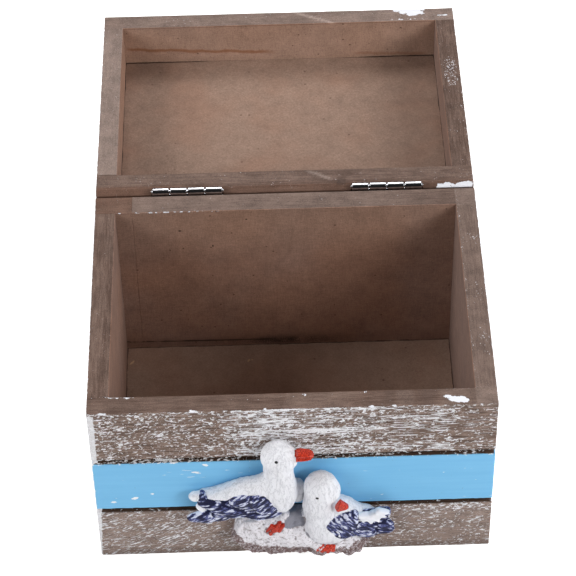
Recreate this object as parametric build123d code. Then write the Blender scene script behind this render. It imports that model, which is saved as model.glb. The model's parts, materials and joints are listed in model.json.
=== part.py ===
from build123d import *
import math
import os

# Small wooden chest, lying with its lid folded right back behind it.
# Millimetres, +Z up. Origin: centre of the body's underside. The front faces -Y.

# Body of the chest
box_width = 130.0
box_depth = 100.0
body_height = 71.5
side_thickness = 7.0
front_thickness = 7.0
rear_thickness = 9.3
bottom_thickness = 4.0
corner_round = 0.8

# Three planks are cut into the walls by two grooves that run round the body
plank_count = 3
groove_width = 2.2
groove_depth = 1.8

# The rear wall is glued up from a long board and a short end piece
end_piece_length = 12.6

# Lid
lid_height = 19.5
lid_side_thickness = 7.1
lid_front_thickness = 7.4
lid_panel_thickness = 3.1
lid_groove_depth = 1.0

# Rear edges and the room for the hinges
rear_chamfer = 1.6
hinge_gap = 0.95
rim_gap = 0.3
stop_clearance = 0.1

# Hinges
left_hinge_inset = 31.5
right_hinge_inset = 30.0
barrel_length = 24.0
barrel_radius = 1.42
knuckle_count = 4
knuckle_gap = 0.3
pin_radius = 0.7
pin_clearance = 0.05
pin_overhang = 0.5
pin_end_round = 0.3
leaf_reach = 8.0
leaf_thickness = 0.7
mortise_clearance = 0.2

# Nails that hold the hinge leaves
nail_spacing = 15.0
nail_drop = 5.0
nail_length = 6.2
nail_radius = 0.5
nail_head_radius = 1.0
nail_head_thickness = 0.35
nail_clearance = 0.05

# Places that follow from the sizes
half_width = box_width / 2
half_depth = box_depth / 2
axis_y = half_depth + hinge_gap / 2
axis_z = body_height + rim_gap / 2
lid_bottom = body_height + rim_gap
lid_top = lid_bottom + lid_height
lid_frame_top = lid_top - lid_panel_thickness
plank_height = (body_height - (plank_count - 1) * groove_width) / plank_count
open_angle = 180 + math.degrees(math.asin((hinge_gap - stop_clearance) / lid_height))
knuckle_length = (barrel_length - (knuckle_count - 1) * knuckle_gap) / knuckle_count
hinge_places = {
    "left": -half_width + left_hinge_inset,
    "right": half_width - right_hinge_inset,
}


def block(x, y, z):
    """Solid block between the low and high values of x, y and z."""
    middle = [(low + high) / 2 for low, high in (x, y, z)]
    size = [high - low for low, high in (x, y, z)]
    return Pos(*middle) * Box(*size)


def rod(x, y, z, radius, axis):
    """Round rod between two values along one axis, given as the pair among x, y and z."""
    if axis == "x":
        turn, middle, length = Rot(0, 90, 0), ((x[0] + x[1]) / 2, y, z), x[1] - x[0]
    else:
        turn, middle, length = Rot(90, 0, 0), (x, (y[0] + y[1]) / 2, z), y[1] - y[0]
    return Pos(*middle) * turn * Cylinder(radius, length)


def square_edge_cutter(y, z, leg):
    """Long bar, turned 45 degrees, that cuts a chamfer of the given leg on an edge along X."""
    side = leg * math.sqrt(2)
    return Pos(0, y, z) * Rot(45, 0, 0) * Box(2 * box_width, side, side)


def plank_grooves():
    """Rings round the body, one at each joint line between two planks."""
    rings = []
    core_x = (-half_width + groove_depth, half_width - groove_depth)
    core_y = (-half_depth + groove_depth, half_depth - groove_depth)
    for index in range(1, plank_count):
        top = index * (plank_height + groove_width)
        level = (top - groove_width, top)
        outside = block((-box_width, box_width), (-box_depth, box_depth), level)
        rings.append(outside - block(core_x, core_y, level))
    return rings


def leaf_mortises(side):
    """Shallow recesses for the two hinge leaves, below the axis (side -1) or above it (side 1)."""
    cuts = []
    half_leaf = barrel_length / 2 + mortise_clearance
    reach = leaf_reach + mortise_clearance
    for place in hinge_places.values():
        level = sorted((axis_z - side * rim_gap, axis_z + side * reach))
        floor = half_depth - leaf_thickness
        cuts.append(block((place - half_leaf, place + half_leaf), (floor, half_depth + 1), level))
    return cuts


def nail_places(side):
    """X and Z of the nails of both leaves on one side of the axis."""
    places = []
    for place in hinge_places.values():
        for step in (-0.5, 0.5):
            places.append((place + step * nail_spacing, axis_z + side * nail_drop))
    return places


def nail_holes(side):
    """Holes in a rear wall for the nail shanks."""
    depth = (half_depth - nail_length - nail_clearance, half_depth)
    radius = nail_radius + nail_clearance
    return [rod(x, depth, z, radius, "y") for x, z in nail_places(side)]


def cut_all(solid, cutters):
    """The solid less every cutter."""
    for cutter in cutters:
        solid = solid - cutter
    return solid


def make_front_board():
    """Front wall over the full width, its outer corners eased, with the two grooves."""
    inside = -half_depth + front_thickness
    board = block((-half_width, half_width), (-half_depth, inside), (0, body_height))
    corners = board.edges().filter_by(Axis.Z).group_by(Axis.Y)[0]
    return cut_all(fillet(corners, corner_round), plank_grooves())


def make_side_board(side):
    """Side wall between the front and rear walls, left (-1) or right (1)."""
    across = sorted((side * (half_width - side_thickness), side * half_width))
    along = (-half_depth + front_thickness, half_depth - rear_thickness)
    return cut_all(block(across, along, (0, body_height)), plank_grooves())


def make_rear_wall(across):
    """Stretch of the rear wall between two values of x, ready for the hinges."""
    board = block(across, (half_depth - rear_thickness, half_depth), (0, body_height))
    cutters = [square_edge_cutter(half_depth, body_height, rear_chamfer)]
    cutters += plank_grooves() + leaf_mortises(-1) + nail_holes(-1)
    return cut_all(board, cutters)


def make_bottom_panel():
    """Thin floor panel let in between the four walls, flush with the underside."""
    across = (-half_width + side_thickness, half_width - side_thickness)
    along = (-half_depth + front_thickness, half_depth - rear_thickness)
    return block(across, along, (0, bottom_thickness))


def make_knuckles(place, indices, radius, margin):
    """Barrel pieces of the hinge at one place, numbered from the left."""
    pieces = []
    for index in indices:
        start = place - barrel_length / 2 + index * (knuckle_length + knuckle_gap)
        span = (start - margin, start + knuckle_length + margin)
        pieces.append(rod(span, axis_y, axis_z, radius, "x"))
    return pieces


def make_leaf(place, side):
    """Hinge leaf, lying on the rear wall below the axis (side -1) or above it (side 1)."""
    own = range((1 - side) // 2, knuckle_count, 2)
    other = range((1 + side) // 2, knuckle_count, 2)
    level = sorted((axis_z, axis_z + side * leaf_reach))
    across = (place - barrel_length / 2, place + barrel_length / 2)
    face = half_depth - leaf_thickness
    leaf = block(across, (face, half_depth), level)
    leaf = cut_all(leaf, make_knuckles(place, other, barrel_radius + mortise_clearance, knuckle_gap))
    for knuckle in make_knuckles(place, own, barrel_radius, 0):
        leaf = leaf + knuckle
    bore = rod((across[0] - 1, across[1] + 1), axis_y, axis_z, pin_radius + pin_clearance, "x")
    seat = (half_depth - nail_head_thickness, half_depth)
    cutters = [bore]
    for x, z in nail_places(side):
        cutters.append(rod(x, (face - 1, half_depth), z, nail_radius + nail_clearance, "y"))
        cutters.append(rod(x, seat, z, nail_head_radius + nail_clearance, "y"))
    return cut_all(leaf, cutters)


def make_pin(place):
    """Hinge pin through all knuckles, standing a little proud of the barrel at both ends."""
    half = barrel_length / 2 + pin_overhang
    pin = rod((place - half, place + half), axis_y, axis_z, pin_radius, "x")
    return fillet(pin.edges().filter_by(GeomType.CIRCLE), pin_end_round)


def make_nails(side):
    """The flat-headed nails of both leaves on one side of the axis, as separate solids."""
    nails = []
    for x, z in nail_places(side):
        shank = rod(x, (half_depth - nail_length, half_depth - nail_head_thickness), z, nail_radius, "y")
        head = rod(x, (half_depth - nail_head_thickness, half_depth), z, nail_head_radius, "y")
        nails.append(shank + head)
    return Compound(children=nails)


def open_lid(shape):
    """Swing a lid piece from where it lies when the chest is closed to its open stop."""
    swing = Pos(0, axis_y, axis_z) * Rot(-open_angle, 0, 0) * Pos(0, -axis_y, -axis_z)
    return swing * shape


def make_lid_front_board():
    """Front board of the lid's frame."""
    inside = -half_depth + lid_front_thickness
    board = block((-half_width, half_width), (-half_depth, inside), (lid_bottom, lid_frame_top))
    corners = board.edges().filter_by(Axis.Z).group_by(Axis.Y)[0]
    return fillet(corners, corner_round)


def make_lid_side_board(side):
    """Side board of the lid's frame, left (-1) or right (1)."""
    across = sorted((side * (half_width - lid_side_thickness), side * half_width))
    along = (-half_depth + lid_front_thickness, half_depth - rear_thickness)
    return block(across, along, (lid_bottom, lid_frame_top))


def make_lid_rear_board():
    """Rear board of the lid's frame, with its chamfered edge and the recesses for the leaves."""
    along = (half_depth - rear_thickness, half_depth)
    board = block((-half_width, half_width), along, (lid_bottom, lid_frame_top))
    cutters = [square_edge_cutter(half_depth, lid_bottom, rear_chamfer)]
    return cut_all(board, cutters + leaf_mortises(1) + nail_holes(1))


def make_lid_top_panel():
    """Panel that closes the lid, laid over its frame, with shallow lines between three planks."""
    panel = block((-half_width, half_width), (-half_depth, half_depth), (lid_frame_top, lid_top))
    corners = panel.edges().filter_by(Axis.Z).group_by(Axis.Y)[0]
    panel = fillet(corners, corner_round)
    pitch = (box_depth + groove_width) / plank_count
    cutters = []
    for index in range(1, plank_count):
        end = -half_depth + index * pitch
        level = (lid_top - lid_groove_depth, lid_top + 1)
        cutters.append(block((-box_width, box_width), (end - groove_width, end), level))
    return cut_all(panel, cutters)


# Ornament: two gulls on a snowy rock, cast in one piece and glued to the front.
# Each rounded form is egg-shaped: (name, x, z, how far it stands out from the front face,
# half length, round radius, lean of its long axis in degrees).
ornament_x = -1.0
ornament_foot = 3.0
gull_forms = [
    ("left_head", -4.0, 50.8, 9.0, 6.3, 5.7, 90),
    ("left_neck", -4.2, 43.5, 8.1, 6.2, 4.9, 90),
    ("left_breast", -3.8, 34.5, 9.2, 9.5, 6.2, 80),
    ("left_back", -12.0, 32.5, 8.2, 13.0, 7.6, 22),
    ("left_rump", -25.0, 31.4, 5.6, 9.5, 3.2, 10),
    ("left_tail", -32.6, 31.2, 5.5, 2.4, 1.9, 0),
    ("left_wing", -14.0, 28.2, 8.5, 11.5, 5.8, 12),
    ("left_wing_tip", -26.0, 24.0, 6.8, 8.8, 3.6, 12),
    ("right_head", 9.5, 35.9, 10.6, 6.6, 5.7, 90),
    ("right_breast", 9.5, 25.5, 9.6, 10.0, 6.0, 90),
    ("right_belly", 13.5, 15.5, 9.2, 9.0, 8.4, -20),
    ("right_back", 21.5, 21.0, 7.8, 12.0, 5.8, -25),
    ("right_tail", 30.5, 17.5, 5.4, 5.5, 2.6, -22),
    ("right_wing", 20.5, 17.8, 8.8, 10.5, 5.6, -14),
    ("right_wing_tip", 29.5, 13.2, 6.8, 6.0, 3.2, -5),
]
rock_forms = [
    ("rock_left", -9.5, 13.5, 7.4, 10.5, 9.6, 40),
    ("rock_middle", 1.5, 8.0, 7.8, 11.0, 7.2, -10),
    ("rock_right", 15.5, 5.0, 8.0, 10.5, 4.6, -5),
    ("rock_web", 1.0, 20.0, 4.0, 12.0, 7.0, 80),
    ("left_foot", -5.8, 14.3, 8.0, 3.6, 2.6, 25),
    ("right_foot", 11.6, 5.6, 9.0, 3.6, 2.4, -20),
]
# Beaks: (x, z, out) of the root and of the tip
beak_lines = [
    ((0.0, 53.2, 6.0), (7.4, 52.7, 6.4)),
    ((13.0, 34.0, 7.6), (18.2, 30.8, 9.6)),
]
beak_root_radius = 3.2
beak_tip_radius = 1.1


def place_on_front(x, z, out):
    """Point of the ornament, from its own x, height and distance out of the front face."""
    return Vector(ornament_x + x, -half_depth - out, ornament_foot + z)


def make_form(x, z, reach, half_length, radius, lean):
    """One egg-shaped form of the ornament, its long axis leaning in the plane of the front."""
    outline = EllipticalCenterArc((0, 0), half_length, radius, start_angle=0, arc_size=180)
    half_section = make_face(Curve() + [outline, Line(outline @ 1, outline @ 0)])
    egg = revolve(half_section, Axis.X)
    return Pos(*place_on_front(x, z, reach - radius)) * Rot(0, -lean, 0) * egg


def make_beak(root, tip):
    """Tapering beak from its root inside the head to its tip."""
    start, end = place_on_front(*root), place_on_front(*tip)
    middle = Plane(origin=(start + end) / 2, z_dir=end - start)
    return middle.location * Cone(beak_root_radius, beak_tip_radius, (end - start).length)


def make_ornament():
    """The whole casting in one piece, cut flat where it is glued to the front wall."""
    outside = block((-box_width, box_width), (-half_depth - box_depth, -half_depth), (0, body_height))
    forms = [make_form(*sizes) & outside for name, *sizes in gull_forms + rock_forms]
    forms += [make_beak(root, tip) & outside for root, tip in beak_lines]
    casting = forms[0]
    for form in forms[1:]:
        casting = casting + form
    return casting


def make_nodes():
    """Every separate piece by the name of its node."""
    split = -half_width + end_piece_length
    nodes = {
        "front_board": make_front_board(),
        "left_side_board": make_side_board(-1),
        "right_side_board": make_side_board(1),
        "rear_board": make_rear_wall((split, half_width)),
        "rear_board_end_piece": make_rear_wall((-half_width, split)),
        "bottom_panel": make_bottom_panel(),
        "seagull_ornament": make_ornament(),
        "box_hinge_nails": make_nails(-1),
        "lid_front_board": open_lid(make_lid_front_board()),
        "lid_left_board": open_lid(make_lid_side_board(-1)),
        "lid_right_board": open_lid(make_lid_side_board(1)),
        "lid_rear_board": open_lid(make_lid_rear_board()),
        "lid_top_panel": open_lid(make_lid_top_panel()),
        "lid_hinge_nails": open_lid(make_nails(1)),
    }
    for name, place in hinge_places.items():
        nodes[name + "_hinge_box_leaf"] = make_leaf(place, -1)
        nodes[name + "_hinge_lid_leaf"] = open_lid(make_leaf(place, 1))
        nodes[name + "_hinge_pin"] = make_pin(place)
    return nodes


os.makedirs("parts", exist_ok=True)
for node_name, shape in make_nodes().items():
    export_step(shape, os.path.join("parts", node_name + ".step"))
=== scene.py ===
"""Looks of a small wooden keepsake chest: worn painted planks, plated hinges and a cast pair of gulls."""

import itertools
import json
import logging
import math
from dataclasses import dataclass
from enum import Enum

import bmesh
import bpy
import numpy as np
from mathutils import Matrix, Vector


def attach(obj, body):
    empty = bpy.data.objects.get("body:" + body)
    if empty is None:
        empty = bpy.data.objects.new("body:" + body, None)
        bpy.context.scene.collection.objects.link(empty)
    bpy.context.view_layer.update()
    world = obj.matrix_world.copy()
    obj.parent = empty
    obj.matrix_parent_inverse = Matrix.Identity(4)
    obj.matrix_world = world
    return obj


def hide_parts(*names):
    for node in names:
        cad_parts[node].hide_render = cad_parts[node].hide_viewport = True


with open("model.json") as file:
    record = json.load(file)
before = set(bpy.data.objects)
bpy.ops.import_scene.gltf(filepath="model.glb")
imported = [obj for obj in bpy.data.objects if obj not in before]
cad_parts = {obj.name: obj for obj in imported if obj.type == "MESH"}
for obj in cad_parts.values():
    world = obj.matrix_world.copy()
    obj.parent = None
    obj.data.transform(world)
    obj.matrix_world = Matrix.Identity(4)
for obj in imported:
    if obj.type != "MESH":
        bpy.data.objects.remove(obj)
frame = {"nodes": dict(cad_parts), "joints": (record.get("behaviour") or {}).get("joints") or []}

log = logging.getLogger("chest")
MM = 0.001
PER_METRE = (1000.0, 1000.0, 1000.0)

# Distance that counts as far from every mark, and coverage at which no fleck of paint is left
NO_MARK = 9.0
BARE = -0.5

# Sizes of the cuts in the boards, in millimetres
CHAMFER = 1.6
GROOVE_WIDTH = 2.2
GROOVE_DEPTH = 1.8
LID_GROOVE_DEPTH = 1.0
LEAF_DEPTH = 0.7
LEAF_CLEARANCE = 0.2


class Grain(Enum):
    """Which way the grain of a board runs: the order of its axes along, across and through."""

    SIDEWAYS = (0, 2, 1)
    FRONT_TO_REAR = (1, 2, 0)
    FLAT = (0, 1, 2)


def srgb(red: float, green: float, blue: float) -> tuple[float, float, float, float]:
    """Linear colour, with an alpha of 1, of a paint given as a screen colour from 0 to 255."""
    linear = [((c / 255 + 0.055) / 1.055) ** 2.4 if c > 10 else c / 255 / 12.92 for c in (red, green, blue)]
    return (*linear, 1.0)


def step_up(values: np.ndarray, start: float, end: float) -> np.ndarray:
    """Smooth rise from 0 at start to 1 at end."""
    t = np.clip((values - start) / (end - start), 0, 1)
    return t * t * (3 - 2 * t)


def step_down(values: np.ndarray, start: float, end: float) -> np.ndarray:
    """Smooth fall from 1 at start to 0 at end."""
    return 1 - step_up(values, start, end)


def plateau(values: np.ndarray, start: float, full: float, fall: float, end: float) -> np.ndarray:
    """Smooth rise from 0 to 1 between the first two values, and fall back between the last two."""
    return step_up(values, start, full) * step_down(values, fall, end)


def hump(values: np.ndarray, centre: float, width: float) -> np.ndarray:
    """Smooth bell of height 1 about a centre."""
    return np.exp(-(((values - centre) / width) ** 2))


def cell_value(cell: np.ndarray, seed: int) -> np.ndarray:
    """Random value from -1 to 1 for each whole-number cell, shape (n, 3)."""
    mixed = cell[:, 0] * 73856093 ^ cell[:, 1] * 19349663 ^ cell[:, 2] * 83492791 ^ (seed + 1) * 40503
    mixed = (mixed ^ (mixed >> 13)) * 1274126177 & 0xFFFFFFFF
    mixed = (mixed ^ (mixed >> 16)) * 2246822519 & 0xFFFFFFFF
    return (mixed ^ (mixed >> 15)) / 2147483647.5 - 1


def roughness_at(points: np.ndarray, size: float, seed: int) -> np.ndarray:
    """Smooth random unevenness from -1 to 1.

    Args:
        points: places in millimetres, shape (n, 3).
        size: size of one swell, in millimetres.
        seed: chooses the pattern.

    Returns:
        One value for each place.
    """
    scaled = points / size
    cell = np.floor(scaled).astype(np.int64)
    part = scaled - cell
    part = part * part * (3 - 2 * part)
    total = np.zeros(len(points))
    for corner in itertools.product((0, 1), repeat=3):
        weight = np.prod(np.where(np.array(corner), part, 1 - part), axis=1)
        total += weight * cell_value(cell + np.array(corner), seed)
    return total


@dataclass(frozen=True)
class Value:
    """Output of a node, which arithmetic turns into further nodes."""

    tree: "Tree"
    socket: bpy.types.NodeSocket

    def __add__(self, other: "Value | float") -> "Value":
        """Sum."""
        return self.tree.math("ADD", self, other)

    def __radd__(self, other: float) -> "Value":
        """Sum with a number in front."""
        return self.tree.math("ADD", other, self)

    def __sub__(self, other: "Value | float") -> "Value":
        """Difference."""
        return self.tree.math("SUBTRACT", self, other)

    def __rsub__(self, other: float) -> "Value":
        """Difference from a number."""
        return self.tree.math("SUBTRACT", other, self)

    def __mul__(self, other: "Value | float") -> "Value":
        """Product."""
        return self.tree.math("MULTIPLY", self, other)

    def __rtruediv__(self, other: float) -> "Value":
        """A number divided by the value."""
        return self.tree.math("DIVIDE", other, self)

    def __abs__(self) -> "Value":
        """Size without its sign."""
        return self.tree.math("ABSOLUTE", self)

    def over(self, other: "Value | float") -> "Value":
        """The larger of two values."""
        return self.tree.math("MAXIMUM", self, other)

    def scaled(self, *factors: float) -> "Value":
        """Vector with each axis multiplied by its own factor."""
        return self.tree.out("ShaderNodeVectorMath", {0: self, 1: factors}, operation="MULTIPLY")


class Tree:
    """Short calls for building a shader or geometry tree."""

    def __init__(self, tree: bpy.types.NodeTree) -> None:
        """Hold the tree and clear it."""
        self.tree = tree
        tree.nodes.clear()

    def feed(self, node: bpy.types.Node, inputs: dict) -> None:
        """Link a node's inputs, by name or number, to outputs, or set their values."""
        for key, value in inputs.items():
            value = value.socket if isinstance(value, Value) else value
            if isinstance(value, bpy.types.NodeSocket):
                self.tree.links.new(value, node.inputs[key])
            else:
                node.inputs[key].default_value = value

    def add(self, kind: str, inputs: dict | None = None, **settings: object) -> bpy.types.Node:
        """Add a node of a type, with its inputs and its own properties."""
        node = self.tree.nodes.new(kind)
        for key, value in settings.items():
            setattr(node, key, value)
        self.feed(node, inputs or {})
        return node

    def out(self, kind: str, inputs: dict | None = None, output: int | str = 0,
            **settings: object) -> Value:
        """One output of a new node."""
        return Value(self, self.add(kind, inputs, **settings).outputs[output])

    def math(self, operation: str, *values: object) -> Value:
        """Result of a Math node."""
        return self.out("ShaderNodeMath", dict(enumerate(values)), operation=operation)

    def mix(self, factor: object, low: object, high: object) -> Value:
        """Blend of two colours."""
        return self.out("ShaderNodeMix", {0: factor, 6: low, 7: high}, 2, data_type="RGBA")

    def layers(self, base: object, *coats: tuple) -> Value:
        """Coats over a base colour, each given as its mask and its colour."""
        for mask, colour in coats:
            base = self.mix(mask, base, colour)
        return base

    def tint(self, base: object, layer: object) -> Value:
        """Product of two colours."""
        inputs = {0: 1.0, 6: base, 7: layer}
        return self.out("ShaderNodeMix", inputs, 2, data_type="RGBA", blend_type="MULTIPLY")

    def grey(self, value: Value) -> Value:
        """Grey colour of a value."""
        return self.out("ShaderNodeCombineColor", {0: value, 1: value, 2: value})

    def rise(self, value: object, start: object, end: object) -> Value:
        """Smooth rise from 0 at start to 1 at end."""
        return self.out("ShaderNodeMapRange", {0: value, 1: start, 2: end}, interpolation_type="SMOOTHSTEP")

    def noise(self, place: object, scale: object, detail: float = 3, rough: float = 0.55,
            distortion: float = 0.0) -> Value:
        """Value of a noise texture at a place."""
        inputs = {"Vector": place, "Scale": scale, "Detail": detail, "Roughness": rough,
            "Distortion": distortion}
        return self.out("ShaderNodeTexNoise", inputs, "Fac")

    def squeezed(self, place: Value, stretch: Value) -> Value:
        """Place that runs more slowly along X, so that patterns are stretched there."""
        scale = self.out("ShaderNodeCombineXYZ", {0: 1.0 / stretch, 1: 1.0, 2: 1.0})
        return self.out("ShaderNodeVectorMath", {0: place, 1: scale}, operation="MULTIPLY")


class EffectTree(Tree):
    """Shader group that several finishes place."""

    def __init__(self, name: str, numbers: dict[str, float], outputs: dict[str, str]) -> None:
        """Start the group.

        Args:
            name: the group's name.
            numbers: default of each number input, by name. The first input is always Place, a vector.
            outputs: socket type of each output, by name.
        """
        group = bpy.data.node_groups.new(name, "ShaderNodeTree")
        group.interface.new_socket("Place", in_out="INPUT", socket_type="NodeSocketVector")
        for label, default in numbers.items():
            socket = group.interface.new_socket(label, in_out="INPUT", socket_type="NodeSocketFloat")
            socket.default_value = default
        for label, kind in outputs.items():
            group.interface.new_socket(label, in_out="OUTPUT", socket_type="NodeSocket" + kind)
        super().__init__(group)
        source = self.add("NodeGroupInput")
        self.result = self.add("NodeGroupOutput")
        self.given = {label: Value(self, source.outputs[label]) for label in ("Place", *numbers)}

    def give(self, **values: Value) -> bpy.types.ShaderNodeTree:
        """Feed the outputs and hand over the group."""
        self.feed(self.result, values)
        return self.tree


def grain_group() -> bpy.types.ShaderNodeTree:
    """Wood grain along X: Figure (broad bands), Fibre (fine streaks) and Pores (dark dashes)."""
    outputs = {"Figure": "Float", "Fibre": "Float", "Pores": "Float"}
    tree = EffectTree("wood_grain", {"Stretch": 12.0}, outputs)
    place = tree.squeezed(tree.given["Place"], tree.given["Stretch"])
    pores = tree.noise(place.scaled(4.0, 1.0, 1.0), 3.2, 2, 0.5)
    return tree.give(Figure=tree.noise(place, 0.22, 3, 0.5, 1.2), Fibre=tree.noise(place, 1.9, 5, 0.65),
        Pores=tree.rise(pores, 0.6, 0.7))


def fleck_group() -> bpy.types.ShaderNodeTree:
    """Flecks of paint that a dry brush, moved along X, leaves on rough wood."""
    numbers = {"Size": 1.0, "Stretch": 2.5, "Slant": 0.0, "Coverage": 0.4, "Edge": 0.02, "Cluster": 0.3}
    tree = EffectTree("paint_flecks", numbers, {"Mask": "Float"})
    given = tree.given
    turned = tree.out("ShaderNodeVectorRotate", {"Vector": given["Place"], "Angle": given["Slant"]},
        rotation_type="Z_AXIS")
    place = tree.squeezed(turned, given["Stretch"])
    fine = tree.noise(place, 1.0 / given["Size"], 2.5, 0.62, 0.6)
    broad = tree.noise(place, 0.17 / given["Size"], 2, 0.5)
    value = fine + (broad - 0.5) * given["Cluster"]
    level = 0.7 - given["Coverage"] * 0.4
    return tree.give(Mask=tree.rise(value, level - given["Edge"], level + given["Edge"]))


def mottle_group() -> bpy.types.ShaderNodeTree:
    """Fine unevenness of stained wood: a Factor about 1, and the same as a grey Tone."""
    tree = EffectTree("mottle", {"Strength": 0.3}, {"Factor": "Float", "Tone": "Color"})
    place = tree.given["Place"]
    mixed = tree.noise(place, 2.6, 3, 0.7) * 0.62 + tree.noise(place, 0.16, 3, 0.6) * 0.38
    factor = 1.0 + (mixed - 0.5) * tree.given["Strength"] * 4.0
    return tree.give(Factor=factor, Tone=tree.grey(factor))


def speck_group() -> bpy.types.ShaderNodeTree:
    """Small scattered specks, such as dust and fibre knots in pressed board."""
    tree = EffectTree("specks", {"Size": 1.0, "Amount": 0.3}, {"Mask": "Float"})
    cells = tree.add("ShaderNodeTexVoronoi",
        {"Vector": tree.given["Place"], "Scale": 0.4 / tree.given["Size"]})
    chosen = tree.out("ShaderNodeSeparateColor", {0: cells.outputs["Color"]})
    small = 1.0 - tree.rise(cells.outputs["Distance"], 0.08, 0.2)
    return tree.give(Mask=small * tree.math("LESS_THAN", chosen, tree.given["Amount"]))


def ragged_group() -> bpy.types.ShaderNodeTree:
    """Mask, 1 within a width, that ends in a ragged line where a distance passes that width."""
    numbers = {"Distance": 0.0, "Width": 0.3, "Ragged": 0.3, "Size": 1.5}
    tree = EffectTree("ragged_edge", numbers, {"Mask": "Float"})
    wander = tree.noise(tree.given["Place"], 1.0 / tree.given["Size"], 4, 0.65)
    line = tree.given["Width"] + (wander - 0.5) * tree.given["Ragged"] * 2.0
    return tree.give(Mask=1.0 - tree.rise(tree.given["Distance"] - line, -0.04, 0.04))


class SharedEffects:
    """The shader groups that several finishes place, each built once."""

    def __init__(self) -> None:
        """Build every group."""
        self.grain = grain_group()
        self.fleck = fleck_group()
        self.mottle = mottle_group()
        self.speck = speck_group()
        self.ragged = ragged_group()


class MaterialTree(Tree):
    """Tree of one finish, with a Principled shader and the shared effects."""

    def __init__(self, name: str, effects: SharedEffects | None = None) -> None:
        """Start the material."""
        self.material = bpy.data.materials.new(name)
        self.material.use_nodes = True
        super().__init__(self.material.node_tree)
        self.effects = effects
        self.shader = self.add("ShaderNodeBsdfPrincipled")
        self.add("ShaderNodeOutputMaterial", {"Surface": self.shader.outputs[0]})

    def attribute(self, name: str, part: str = "Fac") -> Value:
        """Value or vector that the mesh carries under a name."""
        return self.out("ShaderNodeAttribute", None, part, attribute_name=name)

    def effect(self, group: bpy.types.ShaderNodeTree, place: Value, **inputs: object) -> dict[str, Value]:
        """Outputs of a shared effect, by name, at a place and with its own inputs."""
        node = self.add("ShaderNodeGroup", node_tree=group)
        self.feed(node, {"Place": place, **inputs})
        return {output.name: Value(self, output) for output in node.outputs}

    def flecks(self, along: Value, coverage: str, **inputs: float) -> Value:
        """Mask of flecks whose coverage the mesh carries under a name."""
        return self.effect(self.effects.fleck, along, Coverage=self.attribute(coverage), **inputs)["Mask"]

    def specks(self, place: Value, size: float, amount: float) -> Value:
        """Mask of specks."""
        return self.effect(self.effects.speck, place, Size=size, Amount=amount)["Mask"]

    def mottled(self, colour: Value, place: Value, strength: float) -> Value:
        """Colour made uneven."""
        return self.tint(colour, self.effect(self.effects.mottle, place, Strength=strength)["Tone"])

    def within(self, place: Value, distance: str | Value, width: float, ragged: float,
            size: float) -> Value:
        """Mask that ends raggedly where a distance passes a width.

        Args:
            place: place in millimetres.
            distance: the distance, or the name under which the mesh carries it.
            width, ragged, size: where the mask ends, how far that line wanders, and over what length.

        Returns:
            The mask.
        """
        distance = self.attribute(distance) if isinstance(distance, str) else distance
        inputs = {"Distance": distance, "Width": width, "Ragged": ragged, "Size": size}
        return self.effect(self.effects.ragged, place, **inputs)["Mask"]

    def finish(self, inputs: dict, height: Value | None = None, strength: float = 1.0,
            depth: float = MM) -> bpy.types.Material:
        """Feed the shader.

        Args:
            inputs: values by the shader's input names.
            height: relief of the surface.
            strength, depth: strength and distance of its bump.

        Returns:
            The material.
        """
        if height is not None:
            bump = self.out("ShaderNodeBump", {"Strength": strength, "Distance": depth, "Height": height})
            inputs = {**inputs, "Normal": bump}
        self.feed(self.shader, inputs)
        return self.material


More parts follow.
